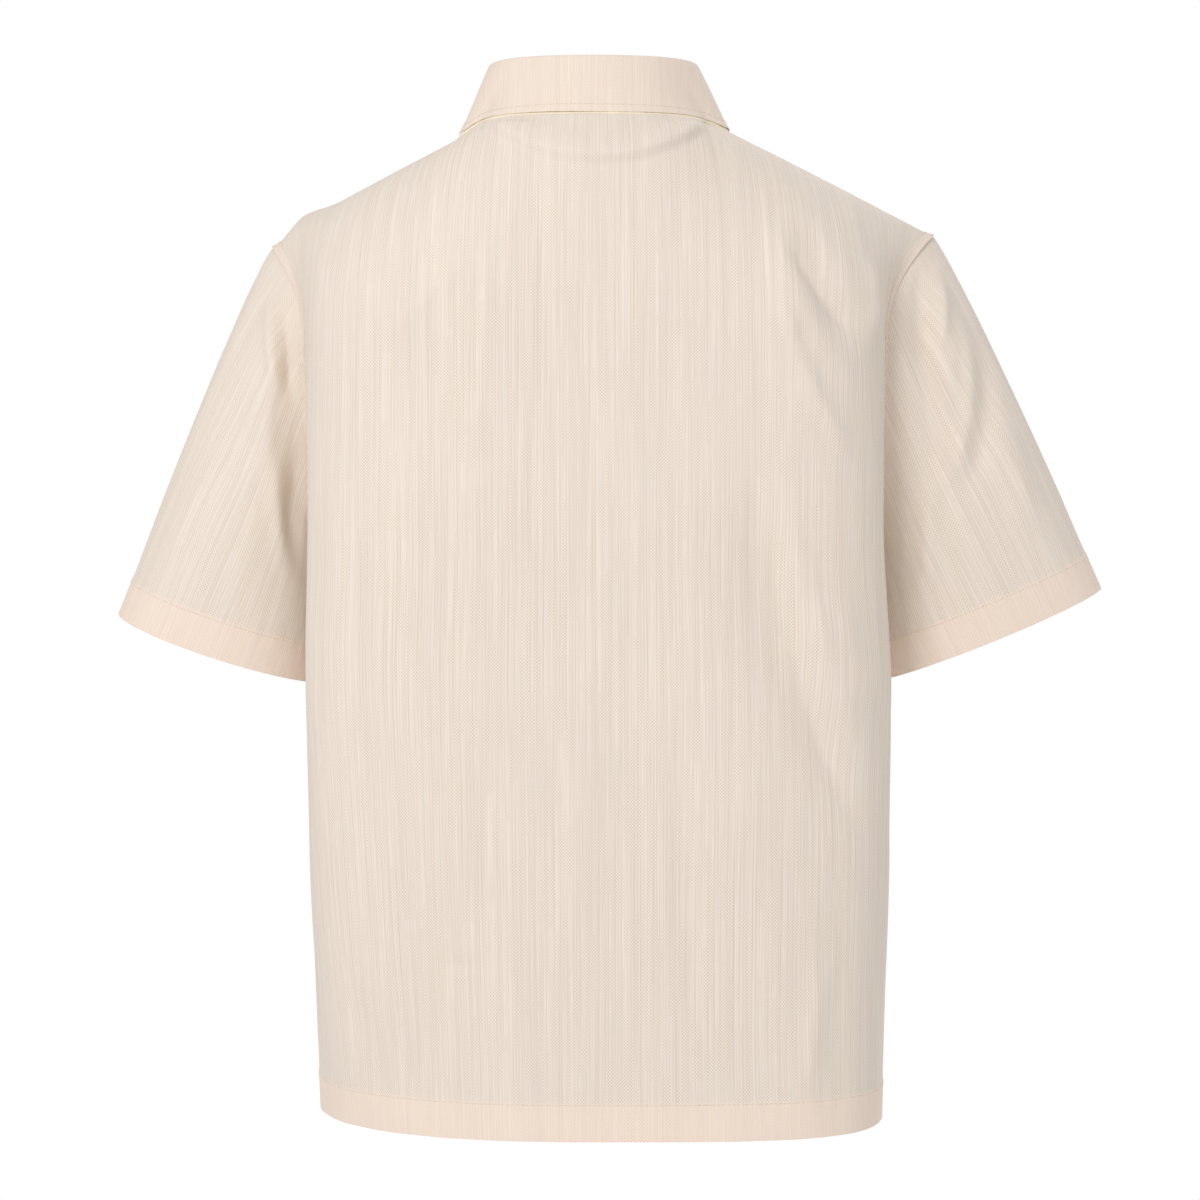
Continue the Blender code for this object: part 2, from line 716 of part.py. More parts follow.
def principled(name, colour):
    """Material of one piece."""
    material = bpy.data.materials.new(name)
    material.use_nodes = True
    shader = material.node_tree.nodes["Principled BSDF"]
    shader.inputs["Base Color"].default_value = (colour.red, colour.green, colour.blue, 1.0)
    shader.inputs["Roughness"].default_value = colour.roughness
    shader.inputs["Metallic"].default_value = 0.0
    return material


def add_piece(name, mesh_data, colour, collection):
    """Object for one piece, in the garment's collection."""
    piece = bpy.data.objects.new(name, mesh_data)
    mesh_data.materials.append(principled(name + "_finish", colour))
    mesh_data.shade_smooth()
    mesh_data.set_sharp_from_angle(angle=SHARP_ANGLE)
    collection.objects.link(piece)
    return piece


def add_cloth(name, sheet, colour, collection):
    """Object for one cloth piece."""
    mesh_data = bpy.data.meshes.new(name)
    sheet.to_mesh(mesh_data)
    sheet.free()
    return add_piece(name, mesh_data, colour, collection)


def add_back(collection):
    """One-piece back."""
    columns = mirrored(half_columns())
    sheet = cloth_wall(
        lambda column, row: body_point(LEFT, BACK, column, row), 1, columns, body_rows(),
        body_thickness, lambda column, row: body_pull(LEFT, BACK, column, row))
    add_cloth("back", sheet, CLOTH_COLOUR, collection)


def add_fronts(collection):
    """Two fronts, the left one over the right one at the middle."""
    columns = front_columns()
    left = cloth_wall(
        left_front_point, -1, columns, body_rows(), body_thickness,
        lambda column, row: body_pull(LEFT, FRONT, column, row))
    add_cloth("front_left", left, CLOTH_COLOUR, collection)
    right = cloth_wall(
        lambda column, row: body_point(RIGHT, FRONT, column, row), 1, columns, body_rows(),
        body_thickness, lambda column, row: body_pull(RIGHT, FRONT, column, row))
    add_cloth("front_right", right, CLOTH_COLOUR, collection)


def add_sleeve(name, side, collection):
    """Short sleeve, a tube from the armhole to its turned hem."""
    around = mirrored([row / 2.0 for row in body_rows() if row <= 2.0])
    rows = even_steps(0.0, 1.0, SLEEVE_CELLS) + [1.0 + HEM_STEP, 2.0]
    sheet = cloth_wall(
        lambda share, along: sleeve_point(side, share, along), -side, around, rows,
        lambda along: HEM_THICKNESS if along > 1.0 else CLOTH_THICKNESS,
        lambda share, along: sleeve_pull(side, share, along), closed=True)
    add_cloth(name, sheet, CLOTH_COLOUR, collection)


def add_collar(collection):
    """Collar stand and the fall that rolls over it."""
    angles = collar_angles() + [math.pi, 2.0 * math.pi - COLLAR_END, math.pi + STAND_LAP]
    shares = [angle / (math.pi + STAND_LAP) for angle in angles]
    stand = cloth_wall(
        stand_point, 1, mirrored(shares), even_steps(0.0, 1.0, 2),
        lambda row: STAND_THICKNESS, no_pull)
    add_cloth("collar_stand", stand, COLLAR_COLOUR, collection)
    shares = [angle / COLLAR_END for angle in collar_angles()]
    rows = even_steps(0.0, ROLL_SHARE, FALL_ROLL_CELLS)
    rows += even_steps(ROLL_SHARE, 1.0, FALL_CELLS)[1:]
    fall = cloth_wall(
        collar_point, 1, mirrored(shares), rows, lambda row: COLLAR_THICKNESS, no_pull)
    add_cloth("collar", fall, COLLAR_COLOUR, collection)


def add_button(number, seat, normal, collection):
    """Round button on the cloth's outer skin."""
    disc = bmesh.new()
    bmesh.ops.create_cone(
        disc, cap_ends=True, segments=BUTTON_SIDES, radius1=BUTTON_RADIUS, radius2=BUTTON_RADIUS,
        depth=BUTTON_DEPTH)
    mesh_data = bpy.data.meshes.new("button_%d" % number)
    disc.to_mesh(mesh_data)
    disc.free()
    button = add_piece("button_%d" % number, mesh_data, BUTTON_COLOUR, collection)
    button.location = seat + normal * (BUTTON_SEAT + BUTTON_DEPTH / 2.0)
    button.rotation_mode = "QUATERNION"
    button.rotation_quaternion = normal.to_track_quat("Z", "Y")
    edge = button.modifiers.new("edge", "BEVEL")
    edge.width = BUTTON_EDGE
    edge.segments = 1
    edge.limit_method = "ANGLE"


def add_buttons(collection):
    """One button on the stand and the rest down the middle front."""
    share = math.pi / (math.pi + STAND_LAP)
    normal = surface_directions(stand_point, 1, share, 0.5)[2]
    add_button(1, stand_point(share, 0.5), normal, collection)
    top = plain_body_point(LEFT, FRONT, 0.0, 0.0).z
    for number in range(FRONT_BUTTONS):
        height = top - FIRST_BUTTON_DROP - number * BUTTON_SPACING
        row = row_at_height(LEFT, FRONT, 0.0, height)
        normal = surface_directions(left_front_point, -1, 0.0, row)[2]
        add_button(number + 2, left_front_point(0.0, row), normal, collection)


def main():
    """Build every piece of the shirt."""
    for item in list(bpy.data.objects):
        bpy.data.objects.remove(item, do_unlink=True)
    collection = bpy.data.collections.new("short_sleeve_shirt")
    bpy.context.scene.collection.children.link(collection)
    add_back(collection)
    add_fronts(collection)
    add_sleeve("sleeve_left", LEFT, collection)
    add_sleeve("sleeve_right", RIGHT, collection)
    add_collar(collection)
    add_buttons(collection)
    bpy.context.view_layer.update()


main()
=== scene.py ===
"""Short-sleeve shirt: its cloth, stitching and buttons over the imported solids, and the studio.

Metres, +Z up. The front faces -Y and the wearer's left is +X. Each cloth piece is draped over the
same form as its solid, on a fine grid, with its creases, turned hems and topstitching added.
"""

import math
from collections import namedtuple
from functools import lru_cache

import bmesh
import bpy
import numpy as np
from mathutils import Matrix, Vector


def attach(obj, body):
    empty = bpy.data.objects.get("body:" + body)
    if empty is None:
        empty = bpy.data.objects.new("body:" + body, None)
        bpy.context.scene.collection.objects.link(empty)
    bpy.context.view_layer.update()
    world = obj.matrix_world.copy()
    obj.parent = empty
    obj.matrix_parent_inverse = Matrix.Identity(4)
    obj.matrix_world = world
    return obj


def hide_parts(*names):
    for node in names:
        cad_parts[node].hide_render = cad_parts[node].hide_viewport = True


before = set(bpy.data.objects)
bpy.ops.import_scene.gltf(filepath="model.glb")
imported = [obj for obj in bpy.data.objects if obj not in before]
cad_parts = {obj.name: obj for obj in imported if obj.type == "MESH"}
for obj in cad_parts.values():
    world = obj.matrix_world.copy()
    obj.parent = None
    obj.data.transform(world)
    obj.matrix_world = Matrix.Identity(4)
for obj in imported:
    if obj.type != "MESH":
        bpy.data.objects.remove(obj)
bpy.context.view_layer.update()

bl_info = {
    "name": "Short-sleeve shirt",
    "version": (1, 0, 0),
    "blender": (4, 5, 0),
    "location": "3D View > Sidebar > Shirt",
    "description": "Builds the cloth, stitching and buttons of a worn short-sleeve shirt",
    "category": "Object",
}

# Sides and faces of the body
LEFT = 1
RIGHT = -1
BACK = 1
FRONT = -1
SIDE_NAMES = {LEFT: "left", RIGHT: "right"}
FACE_NAMES = {BACK: "back", FRONT: "front"}

# Cloth
CLOTH_THICKNESS = 0.0012
HEM_THICKNESS = 0.0020
STAND_THICKNESS = 0.0014
COLLAR_THICKNESS = 0.0016
SEAM_GAP = 0.0003

# Body: heights of the underarm and the hem, and the cut width from a centre line to a side seam
UNDERARM_HEIGHT = -0.300
HEM_HEIGHT = -0.686
HEM_BAND = 0.025
HEM_STEP = 0.004
SIDE_WIDTH = 0.285
BLEND_HEIGHTS = {BACK: -0.170, FRONT: -0.200}
TOP_DRIFT = 3

# Neck seam: half width, reach behind and before its centre, and how far its front drops
NECK_CENTRE = Vector((0.003, -0.002, -0.001))
NECK_HALF_WIDTH = 0.0735
NECK_BACK_REACH = 0.068
NECK_FRONT_REACH = 0.076
NECK_BACK_DROP = 0.002
NECK_FRONT_DROP = 0.060
NECK_FRONT_CURVE = 1.25
NECK_SHARE = 0.36
NECK_SLOPES = {BACK: math.radians(6), FRONT: math.radians(12)}

# Shoulder seams: slope, depth and where it is reached, reach of each tip, and the left one's sag
SHOULDER_SLOPES = {LEFT: 0.520, RIGHT: 0.4955}
SHOULDER_FORWARD = -0.005
SHOULDER_FORWARD_SHARE = 0.5
TIP_REACHES = {LEFT: 0.2282, RIGHT: 0.2352}
LEFT_TIP_DROP = 0.011
LEFT_DROP_START = 0.204
LEFT_SAG = 0.0045
LEFT_SAG_RISE = 6.0
LEFT_SAG_END = 0.86
LEFT_SAG_FALL = 5.0

# Armholes: cut width from the centre line where the armhole is narrowest
ARMHOLE_WIDTHS = {BACK: 0.242, FRONT: 0.236}
DENT_REACH = 0.085

# Front edges: how far each passes the centre line, and where the lap eases into the panel
FRONT_LAP = 0.015
LAP_EASE = 0.050

# Sleeves: the turned hem, half the width of the cloth around, and how straight they leave the seam
CUFF_BAND = 0.027
HALF_SLEEVE_WIDTH = 0.25
SLEEVE_LEAVE = 0.3
UNDERARM_LEAN = math.radians(5)

# Directions in which a sleeve leaves its seam, outwards and up: at the top and at the underarm, and
# what is added to them at its back and front, with the share that goes backwards or forwards
LEAVE_TOP = (0.60, -0.80)
LEAVE_UNDERARM = (0.70, -0.71)
LEAVE_SIDE = (0.25, 0.35)
LEAVE_SIDE_DEPTH = 0.10

# Collar: the stand's height behind and at the sides, its lean, the fall's roll, and how far its
# lower edge rounds out over the shoulders
STAND_HEIGHT = 0.0305
STAND_SIDE_RISE = 0.0035
STAND_LEAN = 0.003
STAND_LAP = FRONT_LAP / SIDE_WIDTH / NECK_SHARE * math.pi / 2.0
LAP_START = 2.6 * STAND_LAP
LAP_RISE = 1.5 * STAND_LAP
ROLL_RADIUS = 0.0026
ROLL_SHARE = 0.2
COLLAR_END = math.radians(171)
COLLAR_SIDE = math.radians(90)
COLLAR_SIDE_COLUMN = 0.442
COLLAR_POINT_COLUMN = 0.20
COLLAR_BACK_ROW = 0.17
COLLAR_POINT_ROW = 0.42
COLLAR_BACK_EASE = 1.3
COLLAR_BACK_BULGE = 0.10
COLLAR_FRONT_EASE = 1.35
EDGE_SAMPLES = 401
EDGE_SPAN = 24
EDGE_FALLOFF = 2.0
COLLAR_CLEARANCE = 0.0015

# Under collar: how far its edge peeps out below the fall, how thick it is, and where it lies
UNDER_PEEP = 0.0026
UNDER_SIDE_PEEP = 0.0022
UNDER_SIDE_SHARE = 0.40
UNDER_SIDE_REACH = 0.14
UNDER_FRONT_PEEP = -0.0008
UNDER_FRONT_SHARE = 0.50
UNDER_FRONT_EASE = 0.10
UNDER_END = 0.99
UNDER_THICKNESS = 0.0006
UNDER_DEPTH = 0.0011
UNDER_EDGE_DEPTH = 0.0005
UNDER_GAP = 0.00005
EDGE_PRESS = 0.0016
COLLAR_LIFT = 0.0018
COLLAR_LIFT_SHARE = 0.445
COLLAR_LIFT_REACH = 0.07
UNDER_TOP = 0.55
FALL_TURN = 0.975

# Buttons
BUTTON_RADIUS = 0.0057
BUTTON_DEPTH = 0.0024
BUTTON_SEAT = 0.0005
BUTTON_SIDES = 40
BUTTON_HOLE_RADIUS = 0.0009
BUTTON_HOLE_REACH = 0.0015
FRONT_BUTTONS = 6
FIRST_BUTTON_DROP = 0.038
BUTTON_SPACING = 0.088
BUTTONHOLE_LENGTH = 0.0155
BUTTONHOLE_WIDTH = 0.0026
BUTTONHOLE_PITCH = 0.00055
BUTTON_ROUND = 0.0005
BUTTON_RECESS = 0.0006
BUTTON_HOLES = 4
BUTTON_HOLE_SIDES = 14
BUTTON_SHARP_ANGLE = math.radians(35)
MERGE_DISTANCE = 0.00001

# Thread of a button, how far apart its two strands lie and how far they pass the holes, and thread
# of a buttonhole with half the gap of its slit
BUTTON_THREAD_RADIUS = 0.00032
BUTTON_THREAD_SHIFT = 0.00035
BUTTON_THREAD_PASS = 0.0003
BUTTONHOLE_THREAD_RADIUS = 0.00026
BUTTONHOLE_SLIT = 0.0002

# Grid cells of the fine cloth
BACK_COLUMN_CELLS = 92
FRONT_COLUMN_CELLS = 92
SEAM_COLUMN = 0.965
SEAM_CELLS = 8
TOP_CELLS = 96
ARMHOLE_CELLS = 36
SKIRT_CELLS = 97
BAND_CELLS = 7
SLEEVE_COLUMN_CELLS = 190
SLEEVE_CELLS = 92
SLEEVE_LENGTH = 0.26
STAND_COLUMN_CELLS = 240
STAND_ROW_CELLS = 10
FALL_COLUMN_CELLS = 320
ROLL_CELLS = 12
FALL_CELLS = 24
UNDER_CELLS = 16
LAP_CELLS = 8

# How upright the yarns run where the cloth faces sideways, and the rows between which they give up
# following the slope of the cloth
GRAIN_UPRIGHT = 0.3
GRAIN_FREE_ROW = 2.0
GRAIN_FIXED_ROW = 2.15

# Flat cut of the sleeve, width and length
SLEEVE_FLAT = (0.435, 0.280)

# Distance of each row of stitches from its edge
EDGE_STITCH = 0.0058
HEM_STITCH = 0.0235
CUFF_STITCH = 0.0255
FRONT_EDGE_STITCH = 0.0280
STAND_STITCH = 0.0030

# Paths of the stitches: how close they come to a seam, in columns or rows, the usual share of its
# cut width that a panel has beside the armhole, and into how many steps each path is divided
SEAM_MARGIN = 0.005
STAND_MARGIN = 0.01
ARMHOLE_MARGIN = 0.02
ARMHOLE_SHARE = 0.88
BACK_PATH_CELLS = 240
FRONT_PATH_CELLS = 120
FRONT_EDGE_PATH_CELLS = 160
ARMHOLE_PATH_CELLS = 90
CUFF_PATH_CELLS = 180
FALL_PATH_CELLS = 300
FALL_END_PATH_CELLS = 24
STAND_PATH_CELLS = 240

# Stitches: their sides and rings, how much wider than high they lie, how far they rise off the
# cloth, and how unevenly they follow each other
STITCH_SIDES = 4
STITCH_RINGS = 6
STITCH_WIDENING = 1.25
STITCH_RISE = 0.45
STITCH_UNEVENNESS = 0.0002
STITCH_BEAT = 2.3

# Sections of the body, top to bottom: the half widths at the wearer's left and right, the depth
# behind and before the centre, how square each corner is, and how far the arms dent the sides
Section = namedtuple("Section", "height left right back front left_corner right_corner dent")
SECTIONS = (
    Section(-0.100, 0.2000, 0.1965, 0.122, 0.112, 4.2, 4.0, 0.000),
    Section(-0.170, 0.2000, 0.1965, 0.124, 0.115, 4.4, 4.0, 0.000),
    Section(-0.240, 0.1995, 0.1965, 0.128, 0.121, 4.4, 4.2, 0.006),
    Section(-0.300, 0.2000, 0.1970, 0.132, 0.126, 4.2, 4.2, 0.016),
    Section(-0.380, 0.2030, 0.2020, 0.135, 0.128, 3.9, 4.0, 0.028),
    Section(-0.460, 0.2025, 0.2025, 0.138, 0.128, 3.5, 3.8, 0.020),
    Section(-0.540, 0.2005, 0.2010, 0.141, 0.127, 3.1, 3.6, 0.010),
    Section(-0.620, 0.1955, 0.1965, 0.144, 0.126, 2.7, 3.6, 0.002),
    Section(-0.686, 0.1925, 0.1935, 0.147, 0.125, 2.35, 3.8, 0.000),
)

# Sleeve hems: the outer corner of each, the slope of the hem, half its width and half its depth,
# how far its back edge hangs below its front edge, and the lean of the sleeve from upright
Cuff = namedtuple("Cuff", "reach forward height slope half_width half_depth tilt lean")
CUFFS = {
    LEFT: Cuff(0.3360, -0.008, -0.3460, math.radians(18.1), 0.077, 0.0575,
               math.radians(7), math.radians(22.6)),
    RIGHT: Cuff(0.3530, -0.008, -0.3285, math.radians(22.2), 0.086, 0.0460,
                math.radians(5), math.radians(24.7)),
}

# Largest folds of the body, each from an upper to a lower end: across is +X for the wearer's left,
# bend moves its middle towards the centre line, and a negative depth is a trough
Fold = namedtuple("Fold", "face upper_x upper_z lower_x lower_z bend width depth")
FOLDS = (
    Fold(BACK, -0.108, -0.105, -0.182, -0.255, 0.016, 0.018, 0.0045),
    Fold(BACK, -0.120, -0.095, -0.178, -0.175, 0.004, 0.014, -0.0030),
    Fold(BACK, -0.096, -0.220, -0.186, -0.520, 0.020, 0.030, -0.0060),
    Fold(BACK, -0.140, -0.330, -0.186, -0.420, 0.000, 0.024, 0.0030),
    Fold(BACK, -0.070, -0.470, -0.100, -0.690, 0.000, 0.030, -0.0025),
    Fold(BACK, 0.095, -0.500, 0.120, -0.690, 0.000, 0.032, -0.0030),
    Fold(FRONT, 0.100, -0.110, 0.180, -0.250, -0.014, 0.020, 0.0040),
    Fold(FRONT, -0.105, -0.115, -0.180, -0.240, 0.012, 0.020, 0.0040),
    Fold(FRONT, 0.105, -0.300, 0.150, -0.690, -0.010, 0.030, -0.0045),
    Fold(FRONT, -0.095, -0.340, -0.145, -0.690, 0.012, 0.030, -0.0045),
)

# Folds of the sleeves: around runs from 0 at the top edge to 1 at the underarm, behind when it is
# positive, and along runs from 0 at the armhole to 1 at the hem
SleeveFold = namedtuple("SleeveFold", "side around_top along_top around_low along_low width depth")
SLEEVE_FOLDS = (
    SleeveFold(LEFT, 0.34, 0.10, 0.56, 0.62, 0.022, 0.0035),
    SleeveFold(LEFT, 0.66, 0.10, 0.70, 0.70, 0.020, -0.0040),
    SleeveFold(RIGHT, 0.16, 0.10, 0.40, 0.55, 0.020, 0.0045),
    SleeveFold(RIGHT, 0.34, 0.08, 0.62, 0.80, 0.022, -0.0045),
    SleeveFold(LEFT, -0.36, 0.10, -0.60, 0.70, 0.022, 0.0035),
    SleeveFold(RIGHT, -0.34, 0.10, -0.58, 0.70, 0.022, 0.0035),
)

# Fine creases of the body, in the same terms as its folds
CREASES = (
    Fold(BACK, -0.1130, -0.0760, -0.1790, -0.2150, 0.0100, 0.0130, 0.0042),
    Fold(BACK, -0.1290, -0.0780, -0.1830, -0.1700, 0.0060, 0.0110, -0.0028),
    Fold(BACK, -0.1010, -0.2600, -0.1750, -0.4900, 0.0140, 0.0150, -0.0032),
    Fold(BACK, -0.1163, -0.1134, -0.1750, -0.2571, 0.0120, 0.0060, 0.0026),
    Fold(BACK, -0.1229, -0.0943, -0.1774, -0.1690, 0.0050, 0.0060, -0.0022),
    Fold(BACK, -0.1813, -0.1008, -0.1840, -0.1679, -0.0030, 0.0060, 0.0035),
    Fold(BACK, -0.1280, -0.1528, -0.1326, -0.2055, 0.0000, 0.0090, -0.0019),
    Fold(BACK, -0.1050, -0.2500, -0.1800, -0.5080, 0.0100, 0.0070, -0.0029),
    Fold(BACK, -0.1190, -0.2500, -0.1850, -0.4700, 0.0060, 0.0080, 0.0019),
    Fold(BACK, -0.0560, -0.3900, -0.0640, -0.6300, 0.0060, 0.0140, -0.0022),
    Fold(BACK, -0.0593, -0.4950, -0.0600, -0.5350, 0.0000, 0.0025, -0.0010),
    Fold(BACK, 0.1030, -0.4500, 0.1000, -0.4740, 0.0000, 0.0025, -0.0011),
    Fold(BACK, 0.1100, -0.5730, 0.0673, -0.5740, 0.0000, 0.0040, -0.0016),
    Fold(BACK, -0.0510, -0.5690, -0.0930, -0.5700, 0.0000, 0.0028, -0.0013),
    Fold(BACK, 0.0820, -0.1000, 0.1480, -0.1700, 0.0080, 0.0110, 0.0019),
    Fold(BACK, 0.1760, -0.2000, 0.1800, -0.4800, 0.0040, 0.0100, 0.0026),
    Fold(BACK, 0.1500, -0.3400, 0.1560, -0.6200, 0.0080, 0.0130, -0.0022),
    Fold(BACK, 0.0680, -0.2100, 0.0710, -0.2600, 0.0000, 0.0140, -0.0016),
    Fold(BACK, 0.0150, -0.3000, 0.0200, -0.6000, 0.0050, 0.0200, 0.0016),
    Fold(BACK, -0.1500, -0.5600, -0.1300, -0.6700, 0.0000, 0.0110, 0.0022),
    Fold(BACK, 0.1640, -0.5900, 0.1360, -0.6800, 0.0000, 0.0110, -0.0022),
    Fold(FRONT, 0.0900, -0.1200, 0.1650, -0.2400, 0.0080, 0.0080, -0.0021),
    Fold(FRONT, 0.1280, -0.1300, 0.1820, -0.1900, 0.0020, 0.0070, 0.0024),
    Fold(FRONT, 0.0520, -0.1500, 0.0980, -0.3300, 0.0060, 0.0140, 0.0026),
    Fold(FRONT, 0.1250, -0.3500, 0.1600, -0.5600, 0.0060, 0.0100, 0.0028),
    Fold(FRONT, 0.0700, -0.4600, 0.0780, -0.6700, 0.0040, 0.0150, -0.0026),
    Fold(FRONT, -0.0950, -0.1300, -0.1700, -0.2300, 0.0080, 0.0080, -0.0021),
    Fold(FRONT, -0.1400, -0.1200, -0.1850, -0.1800, 0.0020, 0.0070, 0.0024),
    Fold(FRONT, -0.0480, -0.1600, -0.0900, -0.3200, 0.0060, 0.0140, 0.0026),
    Fold(FRONT, -0.1200, -0.3800, -0.1560, -0.6000, 0.0060, 0.0100, 0.0028),
    Fold(FRONT, -0.0640, -0.4300, -0.0740, -0.6500, 0.0040, 0.0150, -0.0026),
)

# Fine creases of the sleeves, across and up as seen from behind or from the front
SLEEVE_CREASES = (
    Fold(BACK, -0.2320, -0.0980, -0.2230, -0.1900, -0.0080, 0.0052, 0.0024),
    Fold(BACK, -0.2196, -0.1000, -0.2237, -0.1800, 0.0000, 0.0070, -0.0030),
    Fold(BACK, -0.2444, -0.1250, -0.2257, -0.2800, -0.0185, 0.0075, 0.0036),
    Fold(BACK, -0.2590, -0.1380, -0.2400, -0.2850, -0.0185, 0.0090, -0.0034),
    Fold(BACK, -0.2290, -0.2330, -0.2240, -0.3500, 0.0000, 0.0090, 0.0040),
    Fold(BACK, -0.2700, -0.1900, -0.2950, -0.3100, -0.0060, 0.0120, 0.0025),
    Fold(BACK, 0.2230, -0.1180, 0.2142, -0.2050, -0.0050, 0.0060, 0.0039),
    Fold(BACK, 0.2160, -0.1300, 0.2080, -0.2100, 0.0000, 0.0050, -0.0033),
    Fold(BACK, 0.2180, -0.2250, 0.2120, -0.3300, -0.0030, 0.0070, 0.0033),
    Fold(BACK, 0.2400, -0.1700, 0.2500, -0.3000, -0.0040, 0.0120, -0.0021),
    Fold(FRONT, -0.2300, -0.1100, -0.2230, -0.1900, -0.0080, 0.0050, 0.0024),
    Fold(FRONT, -0.2440, -0.1400, -0.2300, -0.2700, -0.0140, 0.0070, -0.0022),
    Fold(FRONT, 0.2260, -0.1150, 0.2170, -0.1950, -0.0070, 0.0050, 0.0024),
    Fold(FRONT, 0.2400, -0.1500, 0.2300, -0.2800, -0.0100, 0.0075, -0.0022),
)

# How a fold dies away across its width and towards its ends, and towards the seams
FOLD_FALLOFF = 1.5
FOLD_REACH = 2.0
BODY_FOLD_ENDS = 3.0
SLEEVE_FOLD_ENDS = 2.5
SIDE_CALM = 8.0
TOP_CALM = 2.5
FINE_SIDE_CALM = 22.0
FINE_TOP_CALM = 8.0
SEAM_TOP_CALM = 12.0
SEAM_LOW_CALM = 6.0
SLEEVE_TOP_CALM = 7.0
SLEEVE_LOW_CALM = 5.0
SLEEVE_SEAM_CALM = 6.0
SLEEVE_RIDGE_CALM = 9.0
FALL_CALM = 3.0

# Roll of cloth below the collar at the nape: its half width, the lowest and the highest point of the
# line that it hangs over, how far it stands out, and how it eases in above and turns in below
NAPE_HALF_WIDTH = 0.074
NAPE_LOW = -0.0455
NAPE_HIGH = -0.0150
NAPE_POWER = 2.2
NAPE_FADE = 6.0
NAPE_TOP = -0.0120
NAPE_TOP_EASE = 0.0090
NAPE_DEPTH = 0.0050
NAPE_TURN = 0.0070
NAPE_START = 0.8
NAPE_EASE = 0.0280

# Turned hems and seam allowances: how proud they stand, and the puckers that their stitches draw
HEM_PROUD = 0.0004
SEAM_PROUD = 0.0008
SEAM_LIP = 0.0011
SEAM_LIP_WIDTH = 0.0023
STEP_EASE = 0.0012
PUCKER_DEPTH = 0.00022
PUCKER_LENGTH = 0.0125
PUCKER_REACH = 0.0090
PUCKER_DRIFT = 1.4
PUCKER_BEAT = 0.23

# Ripples of hanging cloth: wave lengths across and down, and depth, then how each one's phase
# differs, how far it strays sideways, and how much and how often it swells
RIPPLES = ((0.0460, 0.61, 0.00034), (0.0270, 0.43, 0.00018), (0.0135, 0.24, 0.00008))
RIPPLE_PHASE = 1.7
RIPPLE_STRAY = 1.3
RIPPLE_SWELL = 0.4
RIPPLE_SWELL_ALONG = 1.6
RIPPLE_SWELL_ACROSS = 0.31

# Fall of the collar: its share of the puckers, its shallow waves, and how proud its edge stands
FALL_PUCKER_SHARE = 0.6
FALL_WAVE_DEPTH = 0.0004
FALL_WAVES = (61.0, 23.0)
FALL_PROUD = 0.0003

# How much of the doubled cloth's colour each doubled place takes
SEAM_DOUBLED = 0.6
FRONT_EDGE_DOUBLED = 0.7
FALL_DOUBLED = 0.7
STAND_DOUBLED = 0.9

# Surface steps: for the directions of a surface, for a section's outline and for a search, and the
# place just inside the side of a grid that is one unit wide
SURFACE_STEP = 0.002
CURVE_SAMPLES = 160
HALVINGS = 40
GRID_SIDE = 0.4999
SMALLEST_SPREAD = 0.6
SHARP_ANGLE = math.radians(50)

# Step between the places in the noise that neighbouring stripes of yarn read, how often the noise
# that makes their widths uneven changes, how much further along than across the place of a streak
# lies, the tint of the broad cooler patches, and how far doubled cloth takes its own colour
STRIPE_SPREAD = 7.31
STRIPE_BEND = 0.35
STREAK_ALONG = 1.7
LILAC = (0.970, 0.955, 0.985)
DOUBLED_SHARE = 0.5

# Yarns of the weave: their width and length as shares of a usual slub, and their place in the noise
Yarns = namedtuple("Yarns", "width length place")
PALE_YARNS = Yarns(1.0, 2.2, 3.1)
DARK_YARNS = Yarns(0.8, 1.8, 17.3)
GREY_YARNS = Yarns(1.7, 1.2, 41.9)
PATCHES = Yarns(3.6, 0.45, 67.7)
THIN_YARNS = Yarns(0.35, 2.6, 29.3)
BROAD_PATCHES = Yarns(20.0, 4.0, 8.7)

# Values of the noise between which each kind of yarn or patch comes up, and how strongly it then
# tints the cloth
PALE_TINT = (0.45, 0.62, 0.40)
DARK_TINT = (0.50, 0.66, 0.33)
GREY_TINT = (0.48, 0.62, 0.34)
THIN_TINT = (0.44, 0.70, 0.52)
PIN_RANGE = (0.35, 0.65)
DIAMOND_RANGE = (0.50, 0.56)
BROAD_RANGE = (0.35, 0.68)
# Pins and diamonds: how strongly they paint the highlight and shade of the zig-zags into the cloth
PIN_SHARE = 0.50
DIAMOND_SHARE = 0.95
DIAMOND_STRETCH = 1.1

# Shares of the thin yarns, the pale yarns, the pins and the diamonds in the relief of the weave
RELIEF_SHARES = (0.8, 0.4, 0.10, 0.30)

# Thread and resin: how dark and how strong their shading is
THREAD_SHADE = 0.72
THREAD_SHADE_SHARE = 0.3
RESIN_SHADE = 0.88
RESIN_RANGE = (0.35, 0.70)

# Studio: the floor, the camera's sensor in millimetres, the strongest light that can be set, the
# place and size of each light and the point that they face
FLOOR_SIZE = 5.2
FLOOR_COLOURS = ((0.90, 0.90, 0.895, 1.0), (0.93, 0.93, 0.925, 1.0))
SENSOR_WIDTH = 36.0
HIGHEST_POWER = 200.0
LIGHTS = {
    "key": ((1.00, 2.10, 0.75), 0.9),
    "fill": ((-1.2, -1.9, 0.8), 1.2),
    "side": ((-1.7, 1.0, 0.3), 0.8),
}
LIGHT_AIM = Vector((0.0, 0.0, -0.3))


def colour_property(name, description, default):
    """Colour that a user may change."""
    return bpy.props.FloatVectorProperty(
        name=name, description=description, subtype="COLOR", size=3, min=0.0, max=1.0,
        default=default)


def length_property(name, description, default, low, high):
    """Length in metres that a user may change."""
    return bpy.props.FloatProperty(
        name=name, description=description, subtype="DISTANCE", unit="LENGTH",
        default=default, min=low, max=high)


